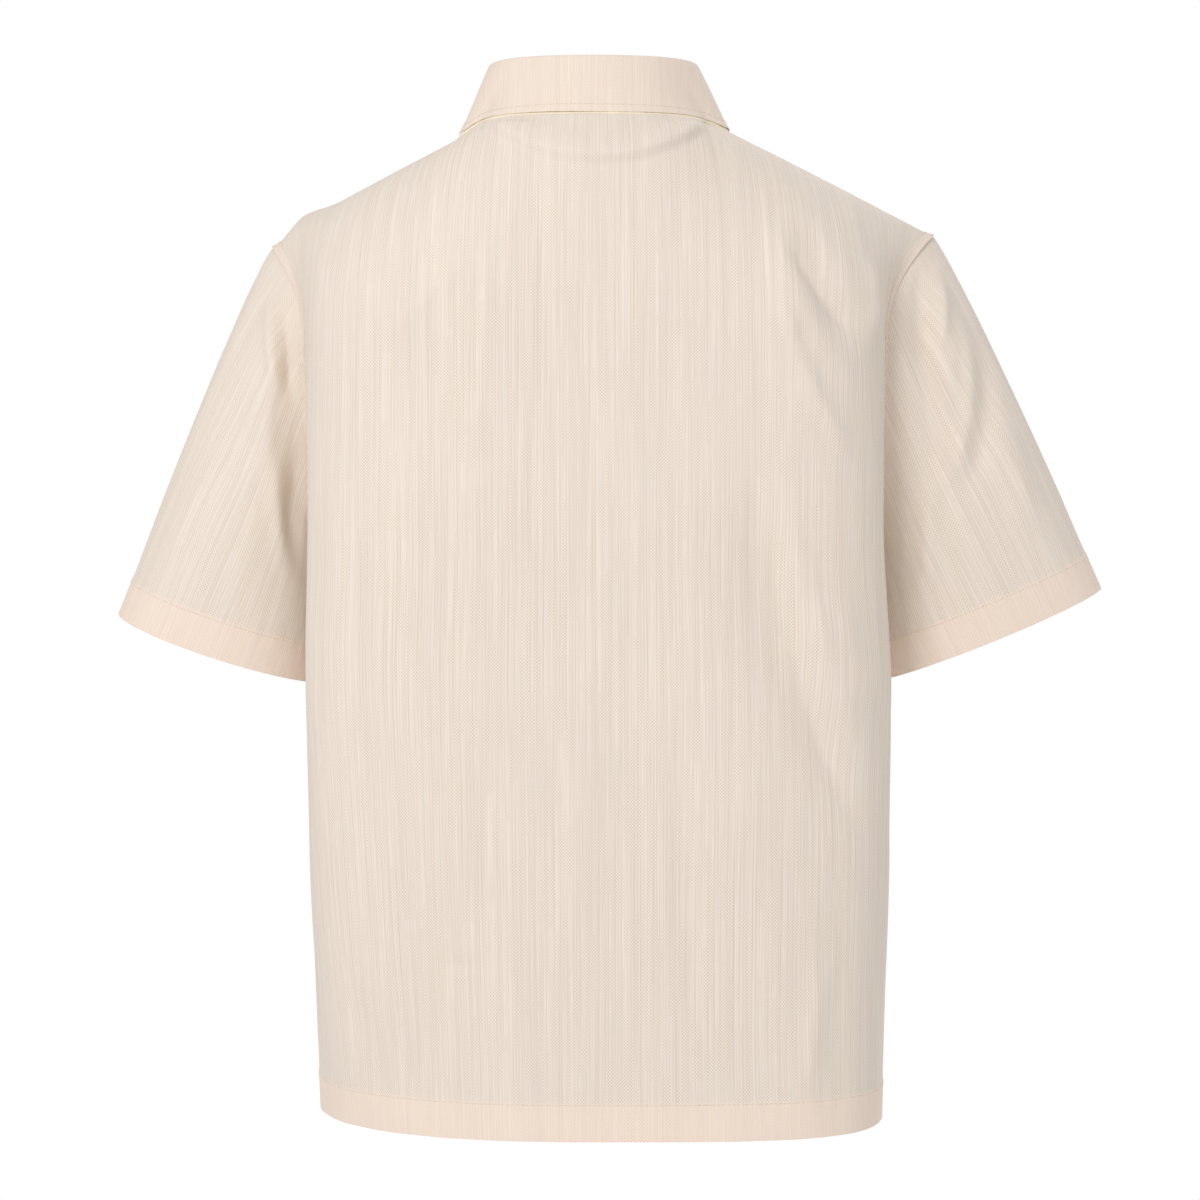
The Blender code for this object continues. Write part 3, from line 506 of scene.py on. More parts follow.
def power_property(name, description, default):
    """Power of a light, in watts, that a user may change."""
    return bpy.props.FloatProperty(
        name=name, description=description, subtype="POWER", unit="POWER",
        default=default, min=0.0, max=HIGHEST_POWER)


class ShirtCloth(bpy.types.PropertyGroup):
    """Colours and weave of the cloth"""

    ground: colour_property("Ground", "Colour of the plain cloth", (0.830, 0.728, 0.635))
    slub_pale: colour_property(
        "Pale slubs", "Colour of the thick pale yarns", (0.910, 0.820, 0.725))
    slub_dark: colour_property("Dark slubs", "Colour of the beige yarns", (0.660, 0.560, 0.450))
    slub_grey: colour_property(
        "Grey slubs", "Colour of the cool grey yarns", (0.730, 0.675, 0.620))
    doubled: colour_property(
        "Doubled cloth", "Colour where the cloth is turned or doubled", (0.915, 0.732, 0.615))
    under: colour_property(
        "Under collar", "Colour of the under collar's edge", (1.000, 0.885, 0.635))
    slub_width: length_property(
        "Slub width", "Usual width of a thick yarn", 0.0011, 0.0002, 0.01)
    slub_length: length_property(
        "Slub length", "Usual length of a thick yarn", 0.080, 0.005, 0.5)
    twill_width: length_property(
        "Zig-zag width", "Width of one zig-zag of the weave", 0.0020, 0.0002, 0.01)
    relief: length_property("Yarn relief", "Height of the yarns", 0.00022, 0.0, 0.001)


class ShirtStitching(bpy.types.PropertyGroup):
    """Thread of the seams and hems"""

    pitch: length_property("Pitch", "Distance from one stitch to the next", 0.0031, 0.001, 0.01)
    length: length_property("Length", "Length of one stitch", 0.0023, 0.001, 0.01)
    radius: length_property("Radius", "Half the thickness of the thread", 0.00024, 0.0001, 0.001)
    thread: colour_property("Thread", "Colour of the thread", (0.85, 0.76, 0.63))


class ShirtButtons(bpy.types.PropertyGroup):
    """Buttons of the front and the collar stand"""

    resin: colour_property("Resin", "Colour of the buttons", (0.90, 0.80, 0.66))
    rim: length_property("Rim", "Width of the raised rim", 0.0014, 0.0005, 0.003)


class ShirtStudio(bpy.types.PropertyGroup):
    """Camera, light and floor"""

    distance: length_property(
        "Camera distance", "From the camera to the middle of the shirt", 1.8, 0.5, 10.0)
    view_width: length_property(
        "View width", "Width of the view at the middle of the shirt", 0.84, 0.2, 5.0)
    height: length_property(
        "Camera height", "Height of the camera above the origin", -0.3374, -2.0, 2.0)
    aside: length_property(
        "Camera offset", "How far the camera stands to one side", -0.0014, -1.0, 1.0)
    surround: bpy.props.FloatProperty(
        name="Surround", description="Light that the white surround sheds", default=0.68,
        min=0.0, max=3.0)
    key: power_property("Key light", "Power of the main light", 25.0)
    fill: power_property("Fill light", "Power of the light on the far side", 16.0)
    side: power_property("Side light", "Power of the light on the wearer's right", 1.6)
    floor_height: length_property(
        "Floor height", "Height of the floor under a standing wearer", -1.45, -3.0, -0.7)


def smooth(value):
    """Ease from 0 to 1 with level ends."""
    value = min(max(value, 0.0), 1.0)
    return value * value * (3.0 - 2.0 * value)


def smooth_all(values):
    """Ease an array from 0 to 1 with level ends."""
    values = np.clip(values, 0.0, 1.0)
    return values * values * (3.0 - 2.0 * values)


def blend(first, second, share):
    """Mix two numbers or vectors."""
    return first + (second - first) * share


def section_value(name, height):
    """Read one column of the section table at a height, as a smooth curve through its rows."""
    heights = [section.height for section in SECTIONS]
    values = [getattr(section, name) for section in SECTIONS]
    last = len(SECTIONS) - 2
    row = 0
    while row < last and height < heights[row + 1]:
        row += 1
    share = (height - heights[row]) / (heights[row + 1] - heights[row])
    share = min(max(share, 0.0), 1.0)
    span = heights[row + 1] - heights[row]
    slope_in = table_slope(heights, values, row) * span
    slope_out = table_slope(heights, values, row + 1) * span
    return hermite(values[row], slope_in, values[row + 1], slope_out, share)


def table_slope(keys, values, row):
    """Slope of a smooth curve through a table's rows, at one of them."""
    before = max(row - 1, 0)
    after = min(row + 1, len(keys) - 1)
    return (values[after] - values[before]) / (keys[after] - keys[before])


def hermite(start, leave, end, arrive, share):
    """Cubic curve between two numbers or vectors with given directions at its ends."""
    square = share * share
    cube = square * share
    return (
        start * (2.0 * cube - 3.0 * square + 1.0)
        + leave * (cube - 2.0 * square + share)
        + end * (3.0 * square - 2.0 * cube)
        + arrive * (cube - square)
    )


@lru_cache(maxsize=None)
def section_curve(side, face, height):
    """Quarter of the body's outline at a height, from its centre line to its side seam.

    Returns the lengths along it, from 0 to 1, and the across and depth values at them.
    """
    half_width = section_value(SIDE_NAMES[side], height)
    depth = section_value(FACE_NAMES[face], height)
    corner = section_value(SIDE_NAMES[side] + "_corner", height)
    dent = section_value("dent", height)
    angles = np.linspace(0.0, math.pi / 2.0, CURVE_SAMPLES)
    radii = (
        (np.cos(angles) / depth) ** corner + (np.sin(angles) / half_width) ** corner
    ) ** (-1.0 / corner)
    across = radii * np.sin(angles)
    outward = radii * np.cos(angles)
    across = across - dent * smooth_all(1.0 - outward / DENT_REACH) * (across > depth / 2.0)
    steps = np.hypot(np.diff(across), np.diff(outward))
    lengths = np.concatenate(([0.0], np.cumsum(steps)))
    return lengths / lengths[-1], across, outward


def wall_point(side, face, share, height):
    """Point of the upright wall, at a share of the way from the centre line to the side seam."""
    lengths, across, outward = section_curve(side, face, height)
    x = float(np.interp(share, lengths, across))
    y = float(np.interp(share, lengths, outward))
    return Vector((side * x, face * y, height))


def neck_point(angle):
    """Point of the neck seam: 0 is the middle of the back and half a turn the middle front."""
    reach = NECK_BACK_REACH
    drop = NECK_BACK_DROP * math.cos(angle)
    if math.cos(angle) < 0.0:
        reach = NECK_FRONT_REACH
        drop = NECK_FRONT_DROP * (-math.cos(angle)) ** NECK_FRONT_CURVE
    offset = Vector((NECK_HALF_WIDTH * math.sin(angle), reach * math.cos(angle), -drop))
    return NECK_CENTRE + offset


def shoulder_point(side, share):
    """Point of a shoulder seam, from the neck at 0 to the armhole at 1."""
    start = neck_point(side * math.pi / 2.0)
    across = blend(abs(start.x), TIP_REACHES[side], share)
    drop = SHOULDER_SLOPES[side] * (across - abs(start.x))
    if side == LEFT:
        drop_length = TIP_REACHES[LEFT] - LEFT_DROP_START
        drop += LEFT_TIP_DROP * smooth((across - LEFT_DROP_START) / drop_length)
        sag = smooth(share * LEFT_SAG_RISE) * smooth((LEFT_SAG_END - share) * LEFT_SAG_FALL)
        drop += LEFT_SAG * sag
    depth = blend(start.y, SHOULDER_FORWARD, min(share / SHOULDER_FORWARD_SHARE, 1.0))
    return Vector((side * across, depth, start.z - drop))


def top_point(side, face, column):
    """Upper edge of a body panel: the neck seam, then the shoulder seam."""
    if column <= NECK_SHARE:
        turn = math.pi / 2.0 * column / NECK_SHARE
        angle = turn if face == BACK else math.pi - turn
        return neck_point(side * angle)
    return shoulder_point(side, (column - NECK_SHARE) / (1.0 - NECK_SHARE))


def armhole_share(face, row):
    """Share of the cut width, from centre to side seam, that a body panel has at a row."""
    narrow = ARMHOLE_WIDTHS[face] / SIDE_WIDTH
    if row <= 1.0:
        return narrow
    if row >= 2.0:
        return 1.0
    return 1.0 - (1.0 - narrow) * math.cos(math.pi / 2.0 * (row - 1.0))


def plain_body_point(side, face, column, row):
    """Point of the body before its folds.

    A column runs from 0 at the centre line to 1 at the armhole or side seam. A row runs from 0 at
    the top edge through 1 at the shoulder blades and 2 at the underarm to 3 at the hem.
    """
    if column < 0.0:
        side = -side
        column = -column
    blend_height = BLEND_HEIGHTS[face]
    share = column * armhole_share(face, row)
    if row > 2.0:
        height = blend(UNDERARM_HEIGHT, HEM_HEIGHT, row - 2.0)
        return wall_point(side, face, share, height)
    if row > 1.0:
        fall = math.sin(math.pi / 2.0 * (row - 1.0))
        height = blend(blend_height, UNDERARM_HEIGHT, fall)
        return wall_point(side, face, share, height)
    top = top_point(side, face, column)
    foot = wall_point(side, face, share, blend_height)
    start = NECK_SLOPES[face] * (1.0 - smooth(column / NECK_SHARE))
    angle = blend(start, math.pi / 2.0, row)
    lift = math.cos(angle) / math.cos(start)
    swing = (1.0 - math.sin(angle)) / (1.0 - math.sin(start))
    drift = (1.0 - row * row) ** TOP_DRIFT
    return Vector((
        blend(foot.x, top.x, drift),
        blend(foot.y, top.y, swing),
        blend(foot.z, top.z, lift),
    ))


def fold_heights(places, face, folds, ends):
    """How far a list of folds moves each of an array of points outwards."""
    x = places[..., 0]
    z = places[..., 2]
    total = np.zeros(x.shape)
    for fold in folds:
        if fold.face != face:
            continue
        run_x = fold.lower_x - fold.upper_x
        run_z = fold.lower_z - fold.upper_z
        length = math.hypot(run_x, run_z)
        along = ((x - fold.upper_x) * run_x + (z - fold.upper_z) * run_z) / length ** 2
        inward = -1.0 if fold.upper_x + fold.lower_x > 0.0 else 1.0
        bend = fold.bend * inward * 4.0 * along * (1.0 - along)
        aside_x = x - fold.upper_x - run_x * along
        aside_z = z - fold.upper_z - run_z * along
        across = (aside_x * run_z - aside_z * run_x) / length
        across = np.abs(across - bend * run_z / length)
        fade = smooth_all(along * ends) * smooth_all((1.0 - along) * ends)
        near = across < FOLD_REACH * fold.width
        total += near * fold.depth * fade * np.exp(-((across / fold.width) ** 2) * FOLD_FALLOFF)
    return total


def surface_directions(surface, facing, column, row):
    """Unit directions of a surface across its columns and along its rows, and its outward normal.

    Facing is 1 where across times along points out of the garment, and -1 where it points in.
    """
    step = SURFACE_STEP
    across = surface(column + step, row) - surface(column - step, row)
    along = surface(column, row + step) - surface(column, row - step)
    normal = across.cross(along).normalized() * facing
    return across.normalized(), along.normalized(), normal


def body_normal(side, face, column, row):
    """Outward normal of the body before its folds."""
    def surface(near_column, near_row):
        return plain_body_point(side, face, near_column, near_row)
    return surface_directions(surface, side * face, column, row)[2]


def body_thickness(row):
    """Wall thickness of a body panel at a row."""
    hem_row = 3.0 - HEM_BAND / (UNDERARM_HEIGHT - HEM_HEIGHT)
    return HEM_THICKNESS if row > hem_row + HEM_STEP / 2.0 else CLOTH_THICKNESS


def lap_depth(column, row):
    """How far the left front stands off the right front."""
    width = column * SIDE_WIDTH
    return (body_thickness(row) + SEAM_GAP) * (1.0 - smooth((width - FRONT_LAP) / LAP_EASE))


def armhole_point(side, around):
    """Point of an armhole seam: around runs from 0 at the shoulder to 1 at the underarm, behind
    when it is positive and in front when it is negative."""
    face = BACK if around >= 0.0 else FRONT
    return plain_body_point(side, face, 1.0, 2.0 * abs(around))


def cuff_axis(side, around):
    """Direction in which a sleeve's turned hem runs down, more upright next to the body."""
    cuff = CUFFS[side]
    lean = blend(cuff.lean, UNDERARM_LEAN, smooth(abs(around)))
    axis = Vector((side * math.sin(lean), -math.sin(cuff.tilt), -math.cos(lean)))
    return axis.normalized()


def cuff_point(side, around):
    """Point of a sleeve's hem."""
    cuff = CUFFS[side]
    outward = Vector((side * math.cos(cuff.slope), 0.0, math.sin(cuff.slope)))
    backward = Vector((0.0, math.cos(cuff.tilt), -math.sin(cuff.tilt)))
    corner = Vector((side * cuff.reach, cuff.forward, cuff.height))
    centre = corner - outward * cuff.half_width
    turn = math.pi * around
    return (
        centre
        + outward * (cuff.half_width * math.cos(turn))
        + backward * (cuff.half_depth * math.sin(turn))
    )


def plain_sleeve_point(side, around, along):
    """Point of a sleeve before its folds.

    Along runs from 0 at the armhole through 1 at the top of the turned hem to 2 at its edge.
    """
    hem = cuff_point(side, around)
    axis = cuff_axis(side, around)
    end = hem - axis * CUFF_BAND
    if along > 1.0:
        return blend(end, hem, along - 1.0)
    start = armhole_point(side, around)
    middle = math.sin(math.pi * min(abs(around), 1.0))
    below = smooth(abs(around))
    leave = Vector((
        side * (blend(LEAVE_TOP[0], LEAVE_UNDERARM[0], below) + LEAVE_SIDE[0] * middle),
        math.copysign(LEAVE_SIDE_DEPTH * middle, around),
        blend(LEAVE_TOP[1], LEAVE_UNDERARM[1], below) + LEAVE_SIDE[1] * middle,
    )).normalized()
    length = (end - start).length
    return hermite(start, leave * length * SLEEVE_LEAVE, end, axis * length, along)


def sleeve_fold_depth(side, around, along):
    """How far the folds move a point of a sleeve outwards."""
    total = 0.0
    for fold in SLEEVE_FOLDS:
        if fold.side != side or (fold.around_top > 0.0) != (around > 0.0):
            continue
        share = (along - fold.along_top) / (fold.along_low - fold.along_top)
        if not 0.0 < share < 1.0:
            continue
        aside = abs(around - blend(fold.around_top, fold.around_low, share)) * HALF_SLEEVE_WIDTH
        ends = smooth(share * SLEEVE_FOLD_ENDS) * smooth((1.0 - share) * SLEEVE_FOLD_ENDS)
        total += fold.depth * ends * math.exp(-((aside / fold.width) ** 2) * FOLD_FALLOFF)
    return total


@lru_cache(maxsize=None)
def armhole_pull(side, around):
    """How far each piece draws back from an armhole seam, so that the two stay a gap apart.

    It grows with how sharply the two pieces meet, and with how far their inner skins lean together.
    """
    step = SURFACE_STEP
    face = BACK if around >= 0.0 else FRONT
    row = 2.0 * abs(around)
    seam = plain_body_point(side, face, 1.0, row)
    body = (plain_body_point(side, face, 1.0 - step, row) - seam).normalized()
    sleeve = (plain_sleeve_point(side, around, step) - seam).normalized()
    spread = body - sleeve

    def surface(near_around, near_along):
        return plain_sleeve_point(side, near_around, near_along)
    sleeve_normal = surface_directions(surface, -side, around, 0.0)[2]
    lean = (body_normal(side, face, 1.0, row) - sleeve_normal).dot(spread.normalized())
    closing = max(lean, 0.0) * CLOTH_THICKNESS
    return (SEAM_GAP + closing) / max(spread.length, SMALLEST_SPREAD)


def loop_outward(angle):
    """Level direction out of the neck loop."""
    reach = NECK_BACK_REACH if math.cos(angle) > 0.0 else NECK_FRONT_REACH
    normal = Vector((math.sin(angle) / NECK_HALF_WIDTH, math.cos(angle) / reach, 0.0))
    return normal.normalized()


def stand_point(share, row):
    """Point of the collar stand's outer skin.

    Share runs from -1 at its end under the lap to 1 at its end over it, and row from 0 at the
    stand's top edge to 1 at the neck seam.
    """
    angle = share * (math.pi + STAND_LAP)
    outward = loop_outward(angle)
    lap = smooth((angle - math.pi + LAP_START) / LAP_RISE)
    base = neck_point(angle) + outward * (STAND_THICKNESS + SEAM_GAP) * lap
    base.z += SEAM_GAP
    if angle > math.pi / 2.0:
        column = (math.pi - angle) / (math.pi / 2.0) * NECK_SHARE
        base.z += lap_depth(column, 0.0) * row
    height = STAND_HEIGHT + STAND_SIDE_RISE * math.sin(angle) ** 2
    lift = 1.0 - row
    return base + Vector((0.0, 0.0, height * lift)) - outward * STAND_LEAN * lift


@lru_cache(maxsize=None)
def edge_line():
    """Places along the fall's lower edge and its points there, eased over the shoulders."""
    shares = np.linspace(-1.0, 1.0, EDGE_SAMPLES)
    points = np.array([edge_on_body(share)[:] for share in shares])
    spans = np.arange(-EDGE_SPAN, EDGE_SPAN + 1)
    weights = np.exp(-EDGE_FALLOFF * (spans / (EDGE_SPAN / 2.0)) ** 2)
    padded = np.pad(points, ((EDGE_SPAN, EDGE_SPAN), (0, 0)), mode="edge")
    eased_points = sum(
        weight * padded[shift:shift + EDGE_SAMPLES]
        for shift, weight in enumerate(weights / weights.sum()))
    amount = smooth_all((1.0 - np.abs(shares)) * EDGE_SAMPLES / 2.0 / EDGE_SPAN)[:, None]
    return shares, points + (eased_points - points) * amount


def collar_edge(share):
    """Point of the fall's eased lower edge."""
    shares, points = edge_line()
    return Vector([np.interp(share, shares, points[:, axis]) for axis in range(3)])


def edge_on_body(share):
    """Point of the fall's lower edge, which rests just off the back, the shoulders and the fronts.

    Share runs from 0 at the middle of the back to 1 at a collar point, on the left when positive.
    """
    side = LEFT if share >= 0.0 else RIGHT
    near_lift = 1.0 - abs(share - COLLAR_LIFT_SHARE) / COLLAR_LIFT_REACH
    share = abs(share)
    side_share = COLLAR_SIDE / COLLAR_END
    if share <= side_share:
        share = share / side_share
        turn = math.pi / 2.0 * share
        early = math.pi / 2.0 * (1.0 - (1.0 - share) ** COLLAR_BACK_EASE)
        face = BACK
        column = COLLAR_SIDE_COLUMN * math.sin(early)
        row = COLLAR_BACK_ROW * math.cos(turn)
        row += COLLAR_BACK_BULGE * math.sin(2.0 * turn) * math.sin(turn)
    else:
        share = min((share - side_share) / (1.0 - side_share), 1.0)
        late = math.pi / 2.0 * share ** COLLAR_FRONT_EASE
        face = FRONT
        column = blend(COLLAR_POINT_COLUMN, COLLAR_SIDE_COLUMN, math.cos(late))
        row = COLLAR_POINT_ROW * math.sin(math.pi / 2.0 * share)
    point = plain_body_point(side, face, column, row)
    lift = COLLAR_THICKNESS + COLLAR_CLEARANCE + COLLAR_LIFT * smooth(near_lift)
    if side == LEFT and face == FRONT:
        lift += lap_depth(column, row)
    return point + body_normal(side, face, column, row) * lift


def collar_point(share, row):
    """Point of the fall's outer skin.

    Share runs from -1 to 1 around the neck, and row from 0 at the stand's top edge, over the
    roll, to 1 at the lower edge. The roll is wider where it passes over the stand's lap.
    """
    angle = share * COLLAR_END
    outward = loop_outward(angle)
    over_lap = smooth((LAP_START - math.pi - angle) / STAND_LAP)
    radius = ROLL_RADIUS + STAND_THICKNESS * over_lap
    top = stand_point(angle / (math.pi + STAND_LAP), 0.0)
    centre = top + outward * (radius - COLLAR_THICKNESS) + Vector((0.0, 0.0, SEAM_GAP))
    edge = collar_edge(share)
    reach = edge - centre
    level = reach.dot(outward)
    roll_end = math.pi / 2.0 - math.atan2(-reach.z, level)
    roll_share = min(row / ROLL_SHARE, 1.0)
    turn = blend(math.pi, roll_end, roll_share)
    skin = centre + (outward * math.cos(turn) + Vector((0.0, 0.0, math.sin(turn)))) * radius
    if row <= ROLL_SHARE:
        return skin
    return blend(skin, edge, (row - ROLL_SHARE) / (1.0 - ROLL_SHARE))


def row_at_height(side, face, column, height):
    """Row of a body panel that reaches a height, found by halving."""
    upper = 0.0
    lower = 3.0
    for _ in range(HALVINGS):
        middle = (upper + lower) / 2.0
        if plain_body_point(side, face, column, middle).z > height:
            upper = middle
        else:
            lower = middle
    return upper


def even_steps(start, end, cells):
    """Evenly spaced values from start to end, both included."""
    return [blend(start, end, cell / cells) for cell in range(cells + 1)]


def mirrored(values):
    """Values from a middle one out to one side, repeated on the other side."""
    return [-value for value in reversed(values)] + values[1:]


def body_columns(cells):
    """Columns from the centre line to the side, closer together where the seam allowance lies."""
    return even_steps(0.0, SEAM_COLUMN, cells) + even_steps(SEAM_COLUMN, 1.0, SEAM_CELLS)[1:]


def body_rows():
    """Rows of a body panel from its top edge to its hem, closer together at the hem's fold."""
    length = UNDERARM_HEIGHT - HEM_HEIGHT
    hem_row = 3.0 - HEM_BAND / length
    step = STEP_EASE / length
    top = even_steps(0.0, 1.0, TOP_CELLS)
    armhole = even_steps(1.0, 2.0, ARMHOLE_CELLS)
    skirt = even_steps(2.0, hem_row - step, SKIRT_CELLS)
    band = even_steps(hem_row + step, 3.0, BAND_CELLS)
    return top + armhole[1:] + skirt[1:] + [hem_row] + band


def sleeve_rows():
    """Rows of a sleeve from its armhole to its hem, closer together at the hem's fold."""
    step = STEP_EASE / SLEEVE_LENGTH
    sleeve = even_steps(0.0, 1.0 - step, SLEEVE_CELLS)
    return sleeve + [1.0] + even_steps(1.0 + STEP_EASE / CUFF_BAND, 2.0, BAND_CELLS)


def grid_of(surface, columns, rows):
    """Points of a surface at a grid of columns and rows."""
    return np.array([[surface(column, row)[:] for column in columns] for row in rows])


def normals_of(points, facing, closed):
    """Outward normals of a grid of points."""
    along = np.gradient(points, axis=0)
    across = np.gradient(points, axis=1)
    if closed:
        wrap = points[:, 1] - points[:, -2]
        across[:, 0] = wrap
        across[:, -1] = wrap
    normals = np.cross(across, along) * facing
    return normals / np.linalg.norm(normals, axis=2, keepdims=True)


def draw_in(edge, next_line, amounts):
    """Points of an edge, moved towards the line of points next to it."""
    steps = next_line - edge
    lengths = np.linalg.norm(steps, axis=1, keepdims=True)
    return edge + steps / lengths * np.reshape(amounts, (-1, 1))


def lengths_up(points):
    """Length of the cloth from each point of a grid down to its last row."""
    steps = np.linalg.norm(np.diff(points, axis=0), axis=2)
    below = np.cumsum(steps[::-1], axis=0)[::-1]
    return np.vstack([below, np.zeros((1, points.shape[1]))])


def follow_grain(points, facing, closed, uphill, start, free):
    """Coordinate across the yarns, which run uphill from the cloth's lower edge, as far as each row
    is free to leave its columns."""
    normals = normals_of(points, facing, closed)
    sideways = np.cross(normals, uphill(normals)) * facing
    sideways = sideways[1:] + sideways[:-1]
    sideways /= np.linalg.norm(sideways, axis=2, keepdims=True)
    gains = ((points[:-1] - points[1:]) * sideways).sum(axis=2) * np.reshape(free[1:], (-1, 1))
    gains = np.cumsum(gains[::-1], axis=0)[::-1]
    return start + np.vstack([gains, np.zeros((1, points.shape[1]))])


def lengths_across(points, columns):
    """Length along each row of a grid from the column nearest to the centre line."""
    steps = np.linalg.norm(np.diff(points, axis=1), axis=2)
    lengths = np.hstack([np.zeros((len(points), 1)), np.cumsum(steps, axis=1)])
    middle = int(np.argmin(np.abs(columns)))
    return lengths - lengths[:, middle:middle + 1]


def ripples(across, along):
    """Shallow waves of hanging cloth, uneven across and down."""
    total = np.zeros(across.shape)
    for number, (wave, length, depth) in enumerate(RIPPLES):
        drift = np.sin(2.0 * math.pi * along / length + RIPPLE_PHASE * number)
        beat = along / length * RIPPLE_SWELL_ALONG + across / wave * RIPPLE_SWELL_ACROSS
        swell = 1.0 - RIPPLE_SWELL + RIPPLE_SWELL * np.sin(2.0 * math.pi * beat)
        turn = 2.0 * math.pi * across / wave + RIPPLE_STRAY * drift + number
        total += depth * swell * np.sin(turn)
    return total


def puckers(across, along, stitch):
    """Small puckers that a row of stitches draws into a hem."""
    near = np.exp(-(((along - stitch) / PUCKER_REACH) ** 2))
    turn = 2.0 * math.pi * across / PUCKER_LENGTH
    return PUCKER_DEPTH * near * np.sin(turn + PUCKER_DRIFT * np.sin(turn * PUCKER_BEAT))


def turned_edge(distance, band, proud):
    """How far cloth that is doubled within a band of an edge stands proud."""
    return proud * smooth_all((band - distance) / STEP_EASE + 0.5)


def nape_relief(places):
    """Soft roll of cloth below the collar, which hangs over a line that curves side to side."""
    aside = np.clip(np.abs(places[..., 0]) / NAPE_HALF_WIDTH, 0.0, 1.0)
    line = NAPE_LOW + (NAPE_HIGH - NAPE_LOW) * aside ** NAPE_POWER
    slope = (NAPE_HIGH - NAPE_LOW) / NAPE_HALF_WIDTH * NAPE_POWER * aside ** (NAPE_POWER - 1.0)
    above = (places[..., 2] - line) / np.sqrt(1.0 + slope * slope)
    roll = smooth_all(above / NAPE_TURN + NAPE_START) * (1.0 - smooth_all(above / NAPE_EASE))
    below = smooth_all((NAPE_TOP - places[..., 2]) / NAPE_TOP_EASE)
    return NAPE_DEPTH * roll * below * smooth_all((1.0 - aside) * NAPE_FADE)


Draped = namedtuple("Draped", "columns rows outer inner normals across along doubled closed")


def drape(base, facing, columns, rows, across, relief, thickness, doubled, closed=False):
    """Two skins of a piece of cloth, with the cloth's own coordinates."""
    normals = normals_of(base, facing, closed)
    outer = base + normals * relief[..., None]
    normals = normals_of(outer, facing, closed)
    inner = outer - normals * np.reshape(thickness, (-1, 1, 1))
    along = lengths_up(outer)
    return Draped(columns, rows, outer, inner, normals, across, along, doubled, closed)


def cloth_mesh(name, piece):
    """Closed wall of cloth: a grid, rolled up where closed, extruded into a second skin, then
    moved onto the two skins and given the cloth's own coordinates as its UV map."""
    row_count, column_count = piece.outer.shape[:2]
    sheet = bmesh.new()
    bmesh.ops.create_grid(
        sheet, x_segments=column_count - 1, y_segments=row_count - 1, size=0.5)
    if piece.closed:
        levels = {}
        for vertex in sheet.verts:
            if vertex.co.x < -GRID_SIDE:
                levels[round((vertex.co.y + 0.5) * (row_count - 1))] = vertex
        targets = {}
        for vertex in sheet.verts:
            if vertex.co.x > GRID_SIDE:
                targets[vertex] = levels[round((vertex.co.y + 0.5) * (row_count - 1))]
        bmesh.ops.weld_verts(sheet, targetmap=targets)
    inner_layer = sheet.verts.layers.int.new("inner")
    skin = bmesh.ops.extrude_face_region(sheet, geom=sheet.faces[:], use_keep_orig=True)
    for item in skin["geom"]:
        if isinstance(item, bmesh.types.BMVert):
            item[inner_layer] = 1
    mesh_data = bpy.data.meshes.new(name)
    sheet.to_mesh(mesh_data)
    sheet.free()

    places = np.empty(len(mesh_data.vertices) * 3, np.float32)
    mesh_data.vertices.foreach_get("co", places)
    places = places.reshape(-1, 3)
    column = np.rint((places[:, 0] + 0.5) * (column_count - 1)).astype(int)
    row = np.rint((places[:, 1] + 0.5) * (row_count - 1)).astype(int)
    inner = np.empty(len(places), np.int32)
    mesh_data.attributes["inner"].data.foreach_get("value", inner)
    places = np.where(inner[:, None] == 1, piece.inner[row, column], piece.outer[row, column])
    mesh_data.vertices.foreach_set("co", places.astype(np.float32).ravel())
    mesh_data.update()

    solid = bmesh.new()
    solid.from_mesh(mesh_data)
    bmesh.ops.recalc_face_normals(solid, faces=solid.faces[:])
    solid.to_mesh(mesh_data)
    solid.free()

    corner = np.empty(len(mesh_data.loops), np.int32)
    mesh_data.loops.foreach_get("vertex_index", corner)
    corner_column = column[corner].reshape(-1, 4)
    corner_row = row[corner].reshape(-1, 4)
    if piece.closed:
        wraps = np.ptp(corner_column, axis=1, keepdims=True) > column_count // 2
        corner_column = np.where(wraps & (corner_column == 0), column_count - 1, corner_column)
    flat = np.stack([
        piece.across[corner_row, corner_column], piece.along[corner_row, corner_column]], axis=-1)
    uv_map = mesh_data.uv_layers.new(name="cloth")
    uv_map.data.foreach_set("uv", flat.astype(np.float32).ravel())
    doubled = mesh_data.attributes.new("doubled", "FLOAT", "POINT")
    doubled.data.foreach_set("value", piece.doubled[row, column].astype(np.float32))
    mesh_data.attributes.remove(mesh_data.attributes["inner"])
    mesh_data.shade_smooth()
    mesh_data.set_sharp_from_angle(angle=SHARP_ANGLE)
    return mesh_data


def add_piece(name, mesh_data, material, nodes=()):
    """Piece of the shirt that takes the place of its solids."""
    piece = bpy.data.objects.new(name, mesh_data)
    mesh_data.materials.append(material)
    bpy.context.scene.collection.objects.link(piece)
    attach(piece, "root")
    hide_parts(*nodes)
    return piece


def on_cloth(piece, column, row):
    """Point and normal of a draped piece's outer skin."""
    column = np.interp(column, piece.columns, np.arange(len(piece.columns)))
    row = np.interp(row, piece.rows, np.arange(len(piece.rows)))
    left = min(int(column), len(piece.columns) - 2)
    above = min(int(row), len(piece.rows) - 2)
    aside = column - left
    below = row - above
    found = []
    for grid in (piece.outer, piece.normals):
        upper = blend(grid[above, left], grid[above, left + 1], aside)
        lower = blend(grid[above + 1, left], grid[above + 1, left + 1], aside)
        found.append(Vector(blend(upper, lower, below)))
    return found[0], found[1].normalized()


def row_of_length(piece, column, length):
    """Row of a draped piece at a length of cloth above its lower edge."""
    index = int(np.argmin(np.abs(np.array(piece.columns) - column)))
    return float(np.interp(length, piece.along[::-1, index], piece.rows[::-1]))


